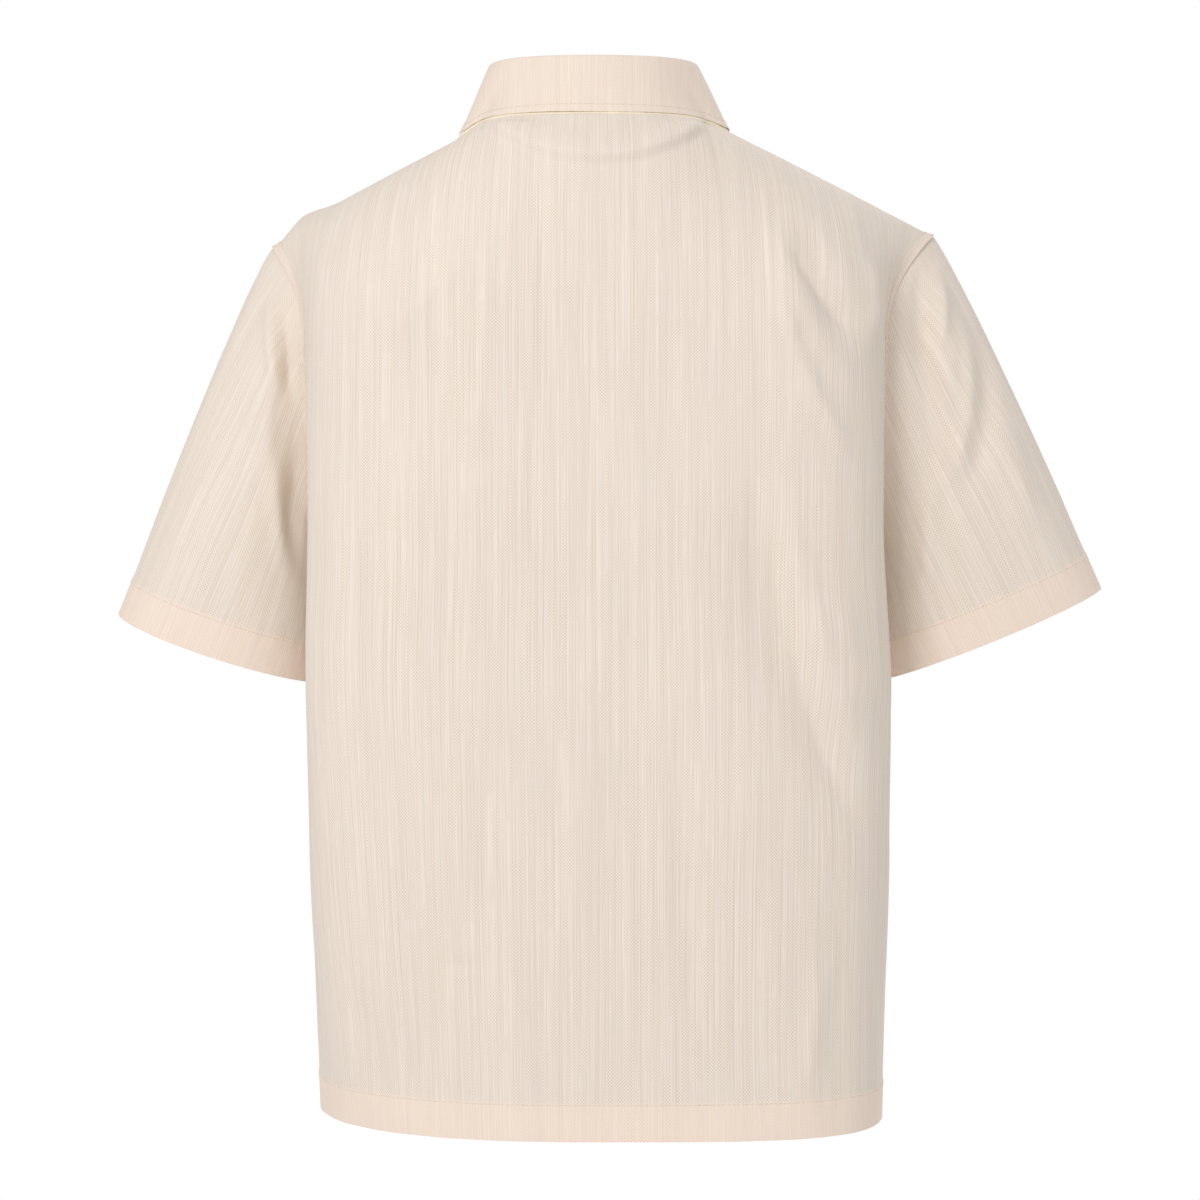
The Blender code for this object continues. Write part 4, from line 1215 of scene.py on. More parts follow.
def add_stitch(sheet, start, end, normal, radius):
    """One stitch: a short rounded length of thread that lies on the cloth."""
    run = end - start
    aside = normal.cross(run).normalized()
    turn = Matrix((run.normalized(), aside, normal)).transposed().to_4x4()
    size = Matrix.Diagonal((run.length / 2.0, radius * STITCH_WIDENING, radius, 1.0))
    place = Matrix.Translation((start + end) / 2.0 + normal * radius * STITCH_RISE)
    bmesh.ops.create_uvsphere(
        sheet, u_segments=STITCH_SIDES, v_segments=STITCH_RINGS, radius=1.0,
        matrix=place @ turn @ size @ Matrix.Rotation(math.pi / 2.0, 4, "Y"))


def stitch_line(sheet, piece, path):
    """Row of stitches along a path of columns and rows on a draped piece."""
    thread = bpy.context.scene.shirt_stitching
    found = [on_cloth(piece, column, row) for column, row in path]
    points = np.array([point[:] for point, _ in found])
    normals = np.array([normal[:] for _, normal in found])
    steps = np.linalg.norm(np.diff(points, axis=0), axis=1)
    lengths = np.concatenate(([0.0], np.cumsum(steps)))

    def at(values, length):
        return Vector([np.interp(length, lengths, values[:, axis]) for axis in range(3)])
    for number in range(int(lengths[-1] / thread.pitch)):
        start = number * thread.pitch + STITCH_UNEVENNESS * math.sin(number * STITCH_BEAT)
        end = start + thread.length
        normal = at(normals, start).normalized()
        add_stitch(sheet, at(points, start), at(points, end), normal, thread.radius)


def add_stitching(name, sheet):
    """Object for one piece's rows of stitches."""
    mesh_data = bpy.data.meshes.new(name)
    sheet.to_mesh(mesh_data)
    sheet.free()
    mesh_data.shade_smooth()
    add_piece(name, mesh_data, thread_material())


def add_seams(name, piece, paths):
    """Rows of stitches along paths of columns and rows on a draped piece."""
    sheet = bmesh.new()
    for path in paths:
        stitch_line(sheet, piece, path)
    add_stitching(name, sheet)


def add_cloth(name, piece, nodes=(), is_under=False):
    """Draped piece in the weave of the shirt, which takes the place of its solids."""
    return add_piece(name, cloth_mesh(name, piece), cloth_material(is_under), nodes)


def set_sockets(tree, node, values):
    """Put a value or a link on each named socket of a node."""
    for key, value in values.items():
        if isinstance(value, bpy.types.NodeSocket):
            tree.links.new(value, node.inputs[key])
        else:
            node.inputs[key].default_value = value


def add_node(tree, kind, values=None, **settings):
    """Shader node with its settings, and with a value or a link on each named socket."""
    node = tree.nodes.new(kind)
    for key, value in settings.items():
        setattr(node, key, value)
    set_sockets(tree, node, values or {})
    return node


def calculate(tree, operation, first, second=0.0, third=0.0):
    """Sum on one, two or three numbers or sockets."""
    values = {0: first, 1: second, 2: third}
    return add_node(tree, "ShaderNodeMath", values, operation=operation).outputs[0]


def multiply(tree, first, second):
    """Product of two numbers or sockets."""
    return calculate(tree, "MULTIPLY", first, second)


def mix_colours(tree, factor, first, second):
    """Mix of two colours, each a colour or a socket."""
    values = {0: factor, 6: first, 7: second}
    return add_node(tree, "ShaderNodeMix", values, data_type="RGBA").outputs[2]


def eased(tree, value, low, high):
    """Number eased from 0 at a low value to 1 at a high one."""
    values = {"Value": value, "From Min": low, "From Max": high}
    node = add_node(tree, "ShaderNodeMapRange", values, interpolation_type="SMOOTHSTEP")
    return node.outputs["Result"]


def streaks(tree, flat, yarns):
    """Uneven streaks along the yarns."""
    cloth = bpy.context.scene.shirt_cloth
    scale = (1.0 / (cloth.slub_width * yarns.width), 1.0 / (cloth.slub_length * yarns.length), 1.0)
    mapping = add_node(tree, "ShaderNodeMapping", {
        "Vector": flat, "Location": (yarns.place, yarns.place * STREAK_ALONG, 0.0),
        "Scale": scale})
    return add_node(tree, "ShaderNodeTexNoise", {
        "Vector": mapping.outputs[0], "Scale": 1.0, "Detail": 2.0, "Roughness": 0.55},
        noise_dimensions="2D").outputs["Fac"]


def stripes(tree, across, along, yarns):
    """Stripes of single yarns or groups of them: hard sides, soft ends, a new value in each."""
    cloth = bpy.context.scene.shirt_cloth
    width = cloth.slub_width * yarns.width
    bent = add_node(tree, "ShaderNodeTexNoise", {
        "W": calculate(tree, "ADD", across, yarns.place), "Scale": STRIPE_BEND / width,
        "Detail": 1.0}, noise_dimensions="1D").outputs["Fac"]
    place = calculate(tree, "ADD", calculate(tree, "DIVIDE", across, width), bent)
    number = calculate(tree, "FLOOR", calculate(tree, "ADD", place, yarns.place))
    spot = add_node(tree, "ShaderNodeCombineXYZ", {
        "X": multiply(tree, number, STRIPE_SPREAD),
        "Y": calculate(tree, "DIVIDE", along, cloth.slub_length * yarns.length)})
    return add_node(tree, "ShaderNodeTexNoise", {
        "Vector": spot.outputs[0], "Scale": 1.0, "Detail": 1.0},
        noise_dimensions="2D").outputs["Fac"]


def wave(tree, place, length):
    """Sine wave along a coordinate."""
    return calculate(tree, "SINE", multiply(tree, place, 2.0 * math.pi / length))


def new_material(name):
    """Material with an empty principled shader."""
    material = bpy.data.materials.new(name)
    material.use_nodes = True
    tree = material.node_tree
    return material, tree, tree.nodes["Principled BSDF"]


def opaque(colour):
    """Colour with full opacity."""
    return (*colour, 1.0)


@lru_cache(maxsize=None)
def cloth_material(is_under):
    """Slubby cotton: thick and thin yarns along the cloth, with patches of fine zig-zag weave."""
    cloth = bpy.context.scene.shirt_cloth
    name = "under_collar_cotton" if is_under else "slub_cotton"
    material, tree, shader = new_material(name)
    flat = add_node(tree, "ShaderNodeUVMap", uv_map="cloth").outputs[0]
    parts = add_node(tree, "ShaderNodeSeparateXYZ", {0: flat})
    across = parts.outputs["X"]
    along = parts.outputs["Y"]
    pale, dark, grey, patches = [
        stripes(tree, across, along, yarns)
        for yarns in (PALE_YARNS, DARK_YARNS, GREY_YARNS, PATCHES)]
    thin = streaks(tree, flat, THIN_YARNS)
    broad = streaks(tree, flat, BROAD_PATCHES)

    pins = wave(tree, across, cloth.twill_width)
    rows = wave(tree, along, cloth.twill_width * DIAMOND_STRETCH)
    diamonds = multiply(tree, multiply(tree, pins, rows), eased(tree, patches, *DIAMOND_RANGE))
    pins = multiply(tree, pins, eased(tree, thin, *PIN_RANGE))

    cool_ground = [value * share for value, share in zip(cloth.ground, LILAC)]
    colour = mix_colours(
        tree, eased(tree, broad, *BROAD_RANGE), opaque(cloth.ground), opaque(cool_ground))
    for mask, (low, high, share), tint in (
            (pale, PALE_TINT, cloth.slub_pale), (dark, DARK_TINT, cloth.slub_dark),
            (grey, GREY_TINT, cloth.slub_grey), (thin, THIN_TINT, cloth.slub_dark)):
        factor = multiply(tree, eased(tree, mask, low, high), share)
        colour = mix_colours(tree, factor, colour, opaque(tint))
    # Each zig-zag is painted paler on one half of its wave and darker on the other: a painted
    # highlight and painted shade of the yarns' relief, on top of the bump
    for pattern, share in ((pins, PIN_SHARE), (diamonds, DIAMOND_SHARE)):
        lit = multiply(tree, calculate(tree, "MAXIMUM", pattern, 0.0), share)
        shaded = multiply(tree, calculate(tree, "MINIMUM", pattern, 0.0), -share)
        colour = mix_colours(tree, lit, colour, opaque(cloth.slub_pale))
        colour = mix_colours(tree, shaded, colour, opaque(cloth.slub_dark))
    doubled = add_node(tree, "ShaderNodeAttribute", attribute_name="doubled").outputs["Fac"]
    doubled_colour = opaque(cloth.under if is_under else cloth.doubled)
    colour = mix_colours(tree, multiply(tree, doubled, DOUBLED_SHARE), colour, doubled_colour)

    height = 0.0
    for pattern, share in zip((thin, pale, pins, diamonds), RELIEF_SHARES):
        height = calculate(tree, "MULTIPLY_ADD", pattern, share, height)
    bump = add_node(tree, "ShaderNodeBump", {
        "Height": height, "Distance": cloth.relief, "Strength": 0.8})
    set_sockets(tree, shader, {
        "Base Color": colour, "Normal": bump.outputs[0], "Roughness": 0.9,
        "Specular IOR Level": 0.25, "Sheen Weight": 0.12, "Sheen Roughness": 0.5})
    return material


@lru_cache(maxsize=None)
def thread_material():
    """Matt cotton thread, twisted along its length."""
    material, tree, shader = new_material("cotton_thread")
    place = add_node(tree, "ShaderNodeTexCoord").outputs["Object"]
    twist = add_node(tree, "ShaderNodeTexWave", {
        "Vector": place, "Scale": 900.0, "Distortion": 1.5, "Detail": 1.0},
        bands_direction="DIAGONAL").outputs["Fac"]
    thread = bpy.context.scene.shirt_stitching.thread
    colour = mix_colours(tree, multiply(tree, twist, THREAD_SHADE_SHARE), opaque(thread),
                         opaque([value * THREAD_SHADE for value in thread]))
    bump = add_node(tree, "ShaderNodeBump", {
        "Height": twist, "Distance": 0.00008, "Strength": 0.6})
    set_sockets(tree, shader, {
        "Base Color": colour, "Normal": bump.outputs[0], "Roughness": 0.75, "Sheen Weight": 0.2})
    return material


@lru_cache(maxsize=None)
def resin_material():
    """Cloudy resin with faint swirls and a polished face."""
    material, tree, shader = new_material("button_resin")
    place = add_node(tree, "ShaderNodeTexCoord").outputs["Object"]
    cloud = add_node(tree, "ShaderNodeTexNoise", {
        "Vector": place, "Scale": 260.0, "Detail": 3.0, "Distortion": 1.4}).outputs["Fac"]
    resin = bpy.context.scene.shirt_buttons.resin
    colour = mix_colours(tree, eased(tree, cloud, *RESIN_RANGE), opaque(resin),
                         opaque([value * RESIN_SHADE for value in resin]))
    fine = add_node(tree, "ShaderNodeTexNoise", {"Vector": place, "Scale": 3000.0})
    bump = add_node(tree, "ShaderNodeBump", {
        "Height": fine.outputs["Fac"], "Distance": 0.00002, "Strength": 0.3})
    set_sockets(tree, shader, {
        "Base Color": colour, "Normal": bump.outputs[0], "Roughness": 0.28,
        "Coat Weight": 0.4, "Coat Roughness": 0.15})
    return material


def side_gaps(side, face, rows):
    """How far a body panel draws back from its armhole and its side seam, row by row."""
    return [armhole_pull(side, face * row / 2.0) if row <= 2.0 else SEAM_GAP / 2.0 for row in rows]


def body_piece(side, face, columns):
    """Body panel, draped. Side is the one that its columns above zero lie on."""
    rows = body_rows()
    facing = side * face
    base = grid_of(lambda column, row: plain_body_point(side, face, column, row), columns, rows)
    column_grid, row_grid = np.meshgrid(columns, rows)
    shares = np.array([armhole_share(face, row) for row in rows])[:, None]

    def uphill(normals):
        upright = np.abs(normals[..., 1]) + GRAIN_UPRIGHT
        return np.stack([0.0 * upright, -face * normals[..., 2], upright], axis=-1)
    start = np.array(columns) * SIDE_WIDTH
    fixed = (np.array(rows) - GRAIN_FREE_ROW) / (GRAIN_FIXED_ROW - GRAIN_FREE_ROW)
    across = follow_grain(base, facing, False, uphill, start, 1.0 - smooth_all(fixed))
    along = lengths_up(base)

    base[:, -1] = draw_in(base[:, -1], base[:, -2], side_gaps(side, face, rows))
    if columns[0] == -1.0:
        base[:, 0] = draw_in(base[:, 0], base[:, 1], side_gaps(-side, face, rows))
    base[0] = draw_in(base[0], base[1], SEAM_GAP / 2.0)

    calm = smooth_all((1.0 - np.abs(column_grid)) * SIDE_CALM) * smooth_all(row_grid * TOP_CALM)
    fine_calm = smooth_all((1.0 - np.abs(column_grid)) * FINE_SIDE_CALM)
    fine_calm = fine_calm * smooth_all(row_grid * FINE_TOP_CALM)
    relief = fold_heights(base, face, FOLDS, BODY_FOLD_ENDS) * calm
    relief += fold_heights(base, face, CREASES, BODY_FOLD_ENDS) * fine_calm
    relief += ripples(across, along) * calm
    relief += puckers(across, along, HEM_STITCH)
    relief += turned_edge(along, HEM_BAND, HEM_PROUD)
    edge = (1.0 - np.abs(column_grid)) * shares * SIDE_WIDTH
    seam = turned_edge(edge, EDGE_STITCH, SEAM_PROUD)
    lip = SEAM_LIP * np.exp(-((edge / SEAM_LIP_WIDTH) ** 2)) * (row_grid < 2.0)
    ends = smooth_all(row_grid * SEAM_TOP_CALM) * smooth_all((2.0 - row_grid) * SEAM_LOW_CALM)
    relief += (seam + lip) * ends
    if face == BACK:
        relief += nape_relief(base) * (row_grid < 1.0)
    elif side == LEFT:
        relief += np.array([[lap_depth(column, row) for column in columns] for row in rows])
    in_seam = (edge < EDGE_STITCH) * (row_grid < 2.0)
    doubled = np.maximum((along < HEM_BAND) * 1.0, in_seam * SEAM_DOUBLED)
    if face == FRONT:
        from_edge = (column_grid - columns[0]) * SIDE_WIDTH
        doubled = np.maximum(doubled, (from_edge < FRONT_EDGE_STITCH) * FRONT_EDGE_DOUBLED)
    thickness = [body_thickness(row) for row in rows]
    return drape(base, facing, columns, rows, across, relief, thickness, doubled)


def armhole_path(side_sign):
    """Path of the stitches beside an armhole, on a body panel."""
    rows = even_steps(ARMHOLE_MARGIN, 2.0 - ARMHOLE_MARGIN, ARMHOLE_PATH_CELLS)
    column = side_sign * (1.0 - EDGE_STITCH / SIDE_WIDTH / ARMHOLE_SHARE)
    return [(column, row) for row in rows]


def level_path(piece, low, high, length, cells):
    """Path of the stitches at a length of cloth above a piece's lower edge."""
    columns = even_steps(low, high, cells)
    return [(column, row_of_length(piece, column, length)) for column in columns]


class SHIRT_OT_back(bpy.types.Operator):
    """Drape the one-piece back, with its turned hem and the stitches of its hem and armholes"""

    bl_idname = "shirt.back"
    bl_label = "Back"

    def execute(self, context):
        piece = body_piece(LEFT, BACK, mirrored(body_columns(BACK_COLUMN_CELLS)))
        cloth = add_cloth("back_cloth", piece, ["back"])
        end = 1.0 - SEAM_MARGIN
        add_seams("back_stitching", piece, [
            level_path(piece, -end, end, HEM_STITCH, BACK_PATH_CELLS),
            armhole_path(1.0), armhole_path(-1.0)])
        return {"FINISHED"}


class SHIRT_OT_fronts(bpy.types.Operator):
    """Drape the two fronts, the left one over the right one, and stitch their edges"""

    bl_idname = "shirt.fronts"
    bl_label = "Fronts"

    def execute(self, context):
        lap = FRONT_LAP / SIDE_WIDTH
        columns = even_steps(-lap, 0.0, LAP_CELLS)[:-1] + body_columns(FRONT_COLUMN_CELLS)
        edge_column = (FRONT_EDGE_STITCH - FRONT_LAP) / SIDE_WIDTH
        edge_rows = even_steps(ARMHOLE_MARGIN, 3.0 - SEAM_MARGIN, FRONT_EDGE_PATH_CELLS)
        for side, name in ((LEFT, "front_left"), (RIGHT, "front_right")):
            piece = body_piece(side, FRONT, columns)
            cloth = add_cloth(name + "_cloth", piece, [name])
            add_seams(name + "_stitching", piece, [
                level_path(piece, -lap, 1.0 - SEAM_MARGIN, HEM_STITCH, FRONT_PATH_CELLS),
                armhole_path(1.0), [(edge_column, row) for row in edge_rows]])
        return {"FINISHED"}


class SHIRT_OT_sleeves(bpy.types.Operator):
    """Drape the two short sleeves, tubes with wide turned hems, and stitch their hems"""

    bl_idname = "shirt.sleeves"
    bl_label = "Sleeves"

    def execute(self, context):
        around = even_steps(-1.0, 1.0, SLEEVE_COLUMN_CELLS)
        rows = sleeve_rows()
        for side, name in ((LEFT, "sleeve_left"), (RIGHT, "sleeve_right")):
            piece = sleeve_piece(side, around, rows)
            cloth = add_cloth(name + "_cloth", piece, [name])
            add_seams(name + "_stitching", piece, [
                level_path(piece, -1.0, 1.0, CUFF_STITCH, CUFF_PATH_CELLS)])
        return {"FINISHED"}


def sleeve_piece(side, around, rows):
    """Sleeve, draped."""
    base = grid_of(lambda share, row: plain_sleeve_point(side, share, row), around, rows)
    around_grid, row_grid = np.meshgrid(around, rows)
    folds = np.array([[sleeve_fold_depth(side, share, row) for share in around] for row in rows])
    base[0] = draw_in(base[0], base[1], [armhole_pull(side, share) for share in around])

    def uphill(normals):
        return np.broadcast_to(-np.array(cuff_axis(side, 0.0)), normals.shape)
    start = np.array(around) * SLEEVE_FLAT[0] / 2.0
    across = follow_grain(base, -side, True, uphill, start, np.ones(len(rows)))
    along = lengths_up(base)
    seam_calm = smooth_all((1.0 - np.abs(around_grid)) * SLEEVE_SEAM_CALM)
    calm = smooth_all(row_grid * SLEEVE_TOP_CALM) * smooth_all((1.0 - row_grid) * SLEEVE_LOW_CALM)
    calm = calm * seam_calm
    behind = fold_heights(base, BACK, SLEEVE_CREASES, SLEEVE_FOLD_ENDS) * (around_grid > 0.0)
    before = fold_heights(base, FRONT, SLEEVE_CREASES, SLEEVE_FOLD_ENDS) * (around_grid < 0.0)
    ridge_calm = smooth_all(np.abs(around_grid) * SLEEVE_RIDGE_CALM)
    relief = folds + (behind + before) * calm * ridge_calm
    relief += ripples(across, along) * calm
    relief += puckers(across, along, CUFF_STITCH) * seam_calm
    relief += turned_edge(along, CUFF_BAND, HEM_PROUD)
    thickness = [HEM_THICKNESS if row > 1.0 else CLOTH_THICKNESS for row in rows]
    doubled = (along < CUFF_BAND) * 1.0
    return drape(base, -side, around, rows, across, relief, thickness, doubled, closed=True)


class SHIRT_OT_collar(bpy.types.Operator):
    """Build the collar stand and the fall that rolls over it, with its under collar"""

    bl_idname = "shirt.collar"
    bl_label = "Collar"

    def execute(self, context):
        stand = stand_piece()
        cloth = add_cloth("collar_stand_cloth", stand, ["collar_stand"])
        fall = fall_piece()
        cloth = add_cloth("collar_cloth", fall, ["collar"])
        cloth = add_cloth("under_collar_cloth", under_piece(), is_under=True)
        paths = [level_path(fall, -FALL_TURN, FALL_TURN, EDGE_STITCH, FALL_PATH_CELLS)]
        for column in (-FALL_TURN, FALL_TURN):
            low = row_of_length(fall, column, EDGE_STITCH)
            rows = even_steps(ROLL_SHARE, low, FALL_END_PATH_CELLS)
            paths.append([(column, row) for row in rows])
        add_seams("collar_stitching", fall, paths)
        end = 1.0 - STAND_MARGIN
        add_seams("collar_stand_stitching", stand, [
            level_path(stand, -end, end, STAND_STITCH, STAND_PATH_CELLS)])
        return {"FINISHED"}


def fall_depth(row_grid):
    """Depth of the upper collar, which thins out towards its turned lower edge."""
    share = smooth_all((row_grid - UNDER_TOP) / (1.0 - UNDER_TOP))
    return blend(UNDER_DEPTH, UNDER_EDGE_DEPTH, share)


def edge_press(row_grid):
    """How far the fall's lower edge sinks towards the cloth below it."""
    return EDGE_PRESS * smooth_all((row_grid - ROLL_SHARE) / (1.0 - ROLL_SHARE))


def stand_piece():
    """Collar stand, draped."""
    columns = even_steps(-1.0, 1.0, STAND_COLUMN_CELLS)
    rows = even_steps(0.0, 1.0, STAND_ROW_CELLS)
    base = grid_of(stand_point, columns, rows)
    across = lengths_across(base, columns)
    relief = np.zeros(base.shape[:2])
    doubled = np.full(base.shape[:2], STAND_DOUBLED)
    thickness = [STAND_THICKNESS] * len(rows)
    return drape(base, 1, columns, rows, across, relief, thickness, doubled)


def fall_piece():
    """Fall of the collar, draped."""
    columns = even_steps(-1.0, 1.0, FALL_COLUMN_CELLS)
    rows = even_steps(0.0, ROLL_SHARE, ROLL_CELLS)[:-1] + even_steps(ROLL_SHARE, 1.0, FALL_CELLS)
    base = grid_of(collar_point, columns, rows)
    row_grid = np.meshgrid(columns, rows)[1]
    across = lengths_across(base, columns)
    along = lengths_up(base)
    below = smooth_all((row_grid - ROLL_SHARE) * FALL_CALM)
    waves = np.sin(across * FALL_WAVES[0]) * np.sin(across * FALL_WAVES[1] + 1.0)
    relief = puckers(across, along, EDGE_STITCH) * FALL_PUCKER_SHARE - edge_press(row_grid)
    relief += below * FALL_WAVE_DEPTH * waves
    relief += turned_edge(along, EDGE_STITCH, FALL_PROUD)
    doubled = np.full(base.shape[:2], FALL_DOUBLED)
    thickness = fall_depth(np.array(rows)) - UNDER_GAP
    return drape(base, 1, columns, rows, across, relief, thickness, doubled)


def under_piece():
    """Lower part of the under collar, whose edge peeps out below the fall."""
    columns = even_steps(-UNDER_END, UNDER_END, FALL_COLUMN_CELLS)
    rows = even_steps(UNDER_TOP, 1.0, UNDER_CELLS)

    def surface(share, row):
        outer = collar_point(share, row)
        down = (collar_point(share, 1.0) - collar_point(share, ROLL_SHARE)).normalized()
        near_side = 1.0 - abs(abs(share) - UNDER_SIDE_SHARE) / UNDER_SIDE_REACH
        before = smooth((abs(share) - UNDER_FRONT_SHARE) / UNDER_FRONT_EASE)
        peep = blend(UNDER_PEEP, UNDER_FRONT_PEEP, before) + UNDER_SIDE_PEEP * smooth(near_side)
        return outer + down * peep * smooth((row - UNDER_TOP) / (1.0 - UNDER_TOP))
    base = grid_of(surface, columns, rows)
    normals = normals_of(base, 1, False)
    row_grid = np.meshgrid(columns, rows)[1]
    base = base - normals * (fall_depth(row_grid) + edge_press(row_grid))[..., None]
    across = lengths_across(base, columns)
    relief = np.zeros(base.shape[:2])
    doubled = np.ones(base.shape[:2])
    return drape(base, 1, columns, rows, across, relief, [UNDER_THICKNESS] * len(rows), doubled)


class SHIRT_OT_buttons(bpy.types.Operator):
    """Turn the buttons, drill their four holes, and sew them on over their buttonholes"""

    bl_idname = "shirt.buttons"
    bl_label = "Buttons"

    def execute(self, context):
        blank = button_blank(context.scene.shirt_buttons.rim)
        threads = bmesh.new()
        for number, (seat, normal, up) in enumerate(button_seats(), start=1):
            aside = up.cross(normal).normalized()
            turn = Matrix((aside, normal.cross(aside), normal)).transposed().to_4x4()
            place = Matrix.Translation(seat + normal * BUTTON_SEAT) @ turn
            name = "button_%d" % number
            mesh_data = blank.copy()
            mesh_data.name = name + "_resin"
            mesh_data.transform(place)
            add_piece(name + "_resin", mesh_data, resin_material(), [name])
            sew_button(threads, place)
        add_stitching("button_stitching", threads)
        bpy.data.meshes.remove(blank)
        return {"FINISHED"}


def button_blank(rim):
    """Mesh of one button, turned from its profile and drilled, with its back at the origin."""
    recess = BUTTON_DEPTH - BUTTON_RECESS
    profile = (
        (0.0, 0.0), (BUTTON_RADIUS - BUTTON_ROUND, 0.0), (BUTTON_RADIUS, BUTTON_ROUND),
        (BUTTON_RADIUS, BUTTON_DEPTH - BUTTON_ROUND), (BUTTON_RADIUS - BUTTON_ROUND, BUTTON_DEPTH),
        (BUTTON_RADIUS - rim, BUTTON_DEPTH), (BUTTON_RADIUS - rim - BUTTON_RECESS, recess),
        (0.0, recess))
    disc = bmesh.new()
    verts = [disc.verts.new((radius, 0.0, height)) for radius, height in profile]
    edges = [disc.edges.new(pair) for pair in zip(verts, verts[1:])]
    bmesh.ops.spin(
        disc, geom=verts + edges, cent=(0.0, 0.0, 0.0), axis=(0.0, 0.0, 1.0),
        angle=2.0 * math.pi, steps=BUTTON_SIDES, use_merge=True)
    bmesh.ops.remove_doubles(disc, verts=disc.verts[:], dist=MERGE_DISTANCE)
    bmesh.ops.recalc_face_normals(disc, faces=disc.faces[:])
    turned = object_of("button_turned", disc)
    drill = bmesh.new()
    for hole in range(BUTTON_HOLES):
        angle = (hole + 0.5) * 2.0 * math.pi / BUTTON_HOLES
        reach = Vector((math.cos(angle), math.sin(angle), 0.0)) * BUTTON_HOLE_REACH
        bmesh.ops.create_cone(
            drill, cap_ends=True, segments=BUTTON_HOLE_SIDES, radius1=BUTTON_HOLE_RADIUS,
            radius2=BUTTON_HOLE_RADIUS, depth=BUTTON_DEPTH * 3.0, matrix=Matrix.Translation(reach))
    drills = object_of("button_drills", drill)
    cut = turned.modifiers.new("holes", "BOOLEAN")
    cut.operation = "DIFFERENCE"
    cut.object = drills
    graph = bpy.context.evaluated_depsgraph_get()
    blank = bpy.data.meshes.new_from_object(turned.evaluated_get(graph))
    blank.shade_smooth()
    blank.set_sharp_from_angle(angle=BUTTON_SHARP_ANGLE)
    for scratch in (turned, drills):
        data = scratch.data
        bpy.data.objects.remove(scratch, do_unlink=True)
        bpy.data.meshes.remove(data)
    return blank


def object_of(name, shape):
    """Object for a working mesh."""
    mesh_data = bpy.data.meshes.new(name)
    shape.to_mesh(mesh_data)
    shape.free()
    item = bpy.data.objects.new(name, mesh_data)
    bpy.context.scene.collection.objects.link(item)
    return item


def button_seats():
    """Seat, normal and upward direction of each button, the one on the stand first."""
    share = math.pi / (math.pi + STAND_LAP)
    normal = surface_directions(stand_point, 1, share, 0.5)[2]
    seats = [(stand_point(share, 0.5), normal, Vector((1.0, 0.0, 0.0)))]

    def left_front(column, row):
        point = plain_body_point(LEFT, FRONT, column, row)
        return point + body_normal(LEFT, FRONT, column, row) * lap_depth(column, row)
    top = plain_body_point(LEFT, FRONT, 0.0, 0.0).z
    for number in range(FRONT_BUTTONS):
        height = top - FIRST_BUTTON_DROP - number * BUTTON_SPACING
        row = row_at_height(LEFT, FRONT, 0.0, height)
        _, along, normal = surface_directions(left_front, -1, 0.0, row)
        seats.append((left_front(0.0, row), normal, -along))
    return seats


def sew_button(sheet, place):
    """Threads through a button's holes, and the bars of its buttonhole."""
    face = BUTTON_DEPTH - BUTTON_RECESS
    reach = BUTTON_HOLE_REACH * math.sqrt(0.5)
    turn = place.to_3x3()
    normal = (turn @ Vector((0.0, 0.0, 1.0))).normalized()
    for sign in (-1.0, 1.0):
        for shift in (-BUTTON_THREAD_SHIFT, BUTTON_THREAD_SHIFT):
            start = place @ Vector((sign * reach + shift, -reach - BUTTON_THREAD_PASS, face))
            end = place @ Vector((sign * reach + shift, reach + BUTTON_THREAD_PASS, face))
            add_stitch(sheet, start, end, normal, BUTTON_THREAD_RADIUS)
    bars = int(BUTTONHOLE_LENGTH / BUTTONHOLE_PITCH)
    for bar in range(bars + 1):
        height = -BUTTONHOLE_LENGTH / 2.0 + bar * BUTTONHOLE_PITCH
        for sign in (-1.0, 1.0):
            start = place @ Vector((sign * BUTTONHOLE_SLIT, height, -BUTTON_SEAT))
            end = place @ Vector((sign * BUTTONHOLE_WIDTH / 2.0, height, -BUTTON_SEAT))
            add_stitch(sheet, start, end, normal, BUTTONHOLE_THREAD_RADIUS)


class SHIRT_OT_stage(bpy.types.Operator):
    """Set up the white surround, the soft light, the pale floor and the camera behind the shirt"""

    bl_idname = "shirt.stage"
    bl_label = "Stage"

    def execute(self, context):
        studio = context.scene.shirt_studio
        add_floor(studio)
        world = bpy.data.worlds.new("white_surround")
        world.use_nodes = True
        tree = world.node_tree
        is_seen = add_node(tree, "ShaderNodeLightPath").outputs["Is Camera Ray"]
        strength = calculate(
            tree, "MULTIPLY_ADD", is_seen, 1.0 - studio.surround, studio.surround)
        set_sockets(tree, tree.nodes["Background"], {
            "Color": (1.0, 1.0, 1.0, 1.0), "Strength": strength})
        context.scene.world = world
        context.scene.view_settings.view_transform = "Standard"
        for name, (location, size) in LIGHTS.items():
            add_light(name, location, size, getattr(studio, name))
        camera = bpy.data.objects.new("camera", bpy.data.cameras.new("camera"))
        camera.data.sensor_width = SENSOR_WIDTH
        camera.data.lens = SENSOR_WIDTH * studio.distance / studio.view_width
        camera.location = (studio.aside, studio.distance, studio.height)
        camera.rotation_euler = (math.pi / 2.0, 0.0, math.pi)
        context.scene.collection.objects.link(camera)
        context.scene.camera = camera
        return {"FINISHED"}


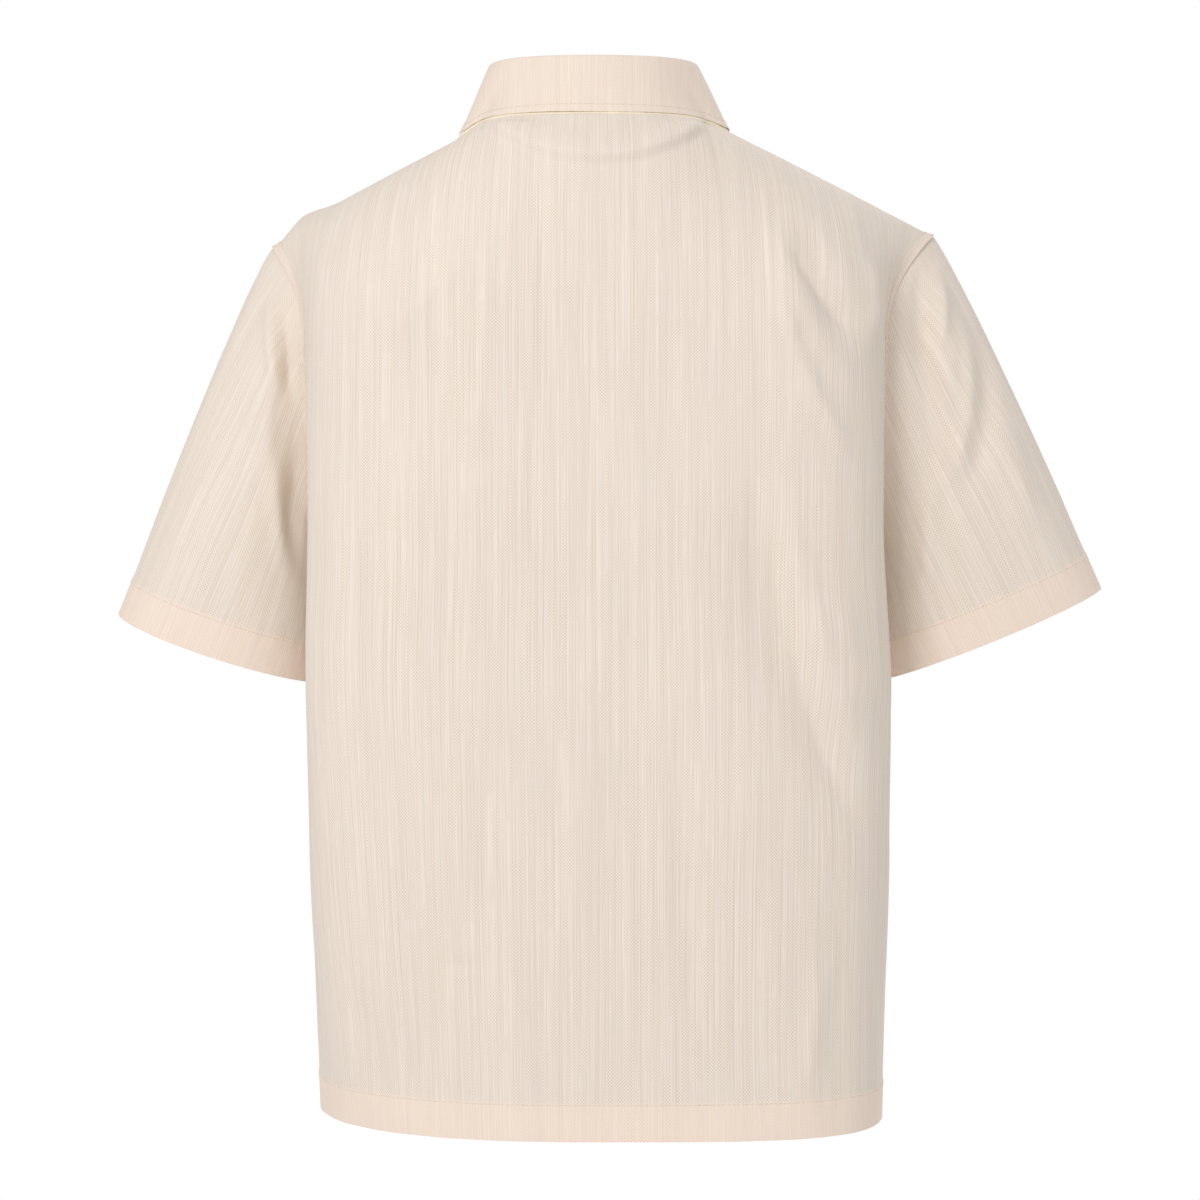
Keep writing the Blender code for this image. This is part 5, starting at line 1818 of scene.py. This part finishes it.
def add_floor(studio):
    """Plain pale floor, well below the shirt."""
    floor = bmesh.new()
    bmesh.ops.create_grid(floor, x_segments=1, y_segments=1, size=FLOOR_SIZE / 2.0)
    bmesh.ops.translate(floor, verts=floor.verts[:], vec=(0.0, 0.0, studio.floor_height))
    plane = object_of("floor", floor)
    material, tree, shader = new_material("pale_floor")
    place = add_node(tree, "ShaderNodeTexCoord").outputs["Object"]
    speckle = add_node(tree, "ShaderNodeTexNoise", {"Vector": place, "Scale": 18.0, "Detail": 3.0})
    colour = mix_colours(tree, speckle.outputs["Fac"], *FLOOR_COLOURS)
    set_sockets(tree, shader, {"Base Color": colour, "Roughness": 0.8})
    plane.data.materials.append(material)


def add_light(name, location, size, power):
    """Soft square light that faces the shirt."""
    light = bpy.data.objects.new(name, bpy.data.lights.new(name, "AREA"))
    light.data.size = size
    light.data.energy = power
    light.location = location
    aim = LIGHT_AIM - Vector(location)
    light.rotation_euler = aim.to_track_quat("-Z", "Y").to_euler()
    bpy.context.scene.collection.objects.link(light)


class SHIRT_PT_pieces(bpy.types.Panel):
    """Pieces of the shirt and its studio"""

    bl_label = "Short-sleeve shirt"
    bl_idname = "SHIRT_PT_pieces"
    bl_space_type = "VIEW_3D"
    bl_region_type = "UI"
    bl_category = "Shirt"

    def draw(self, context):
        layout = self.layout
        for group in (context.scene.shirt_cloth, context.scene.shirt_stitching,
                      context.scene.shirt_buttons, context.scene.shirt_studio):
            box = layout.box()
            for name in group.bl_rna.properties.keys():
                if name not in ("rna_type", "name"):
                    box.prop(group, name)
        for operator in OPERATORS:
            layout.operator(operator.bl_idname)


GROUPS = {
    "shirt_cloth": ShirtCloth,
    "shirt_stitching": ShirtStitching,
    "shirt_buttons": ShirtButtons,
    "shirt_studio": ShirtStudio,
}
OPERATORS = (
    SHIRT_OT_back, SHIRT_OT_fronts, SHIRT_OT_sleeves, SHIRT_OT_collar, SHIRT_OT_buttons,
    SHIRT_OT_stage)


def register():
    """Make the shirt's properties, operators and panel known."""
    for name, group in GROUPS.items():
        bpy.utils.register_class(group)
        setattr(bpy.types.Scene, name, bpy.props.PointerProperty(type=group))
    for operator in OPERATORS:
        bpy.utils.register_class(operator)
    bpy.utils.register_class(SHIRT_PT_pieces)


def unregister():
    """Take the shirt's properties, operators and panel away again."""
    bpy.utils.unregister_class(SHIRT_PT_pieces)
    for operator in reversed(OPERATORS):
        bpy.utils.unregister_class(operator)
    for name, group in reversed(GROUPS.items()):
        delattr(bpy.types.Scene, name)
        bpy.utils.unregister_class(group)


def main():
    """Build every piece and the stage."""
    register()
    bpy.ops.shirt.back()
    bpy.ops.shirt.fronts()
    bpy.ops.shirt.sleeves()
    bpy.ops.shirt.collar()
    bpy.ops.shirt.buttons()
    bpy.ops.shirt.stage()


if __name__ == "__main__":
    main()
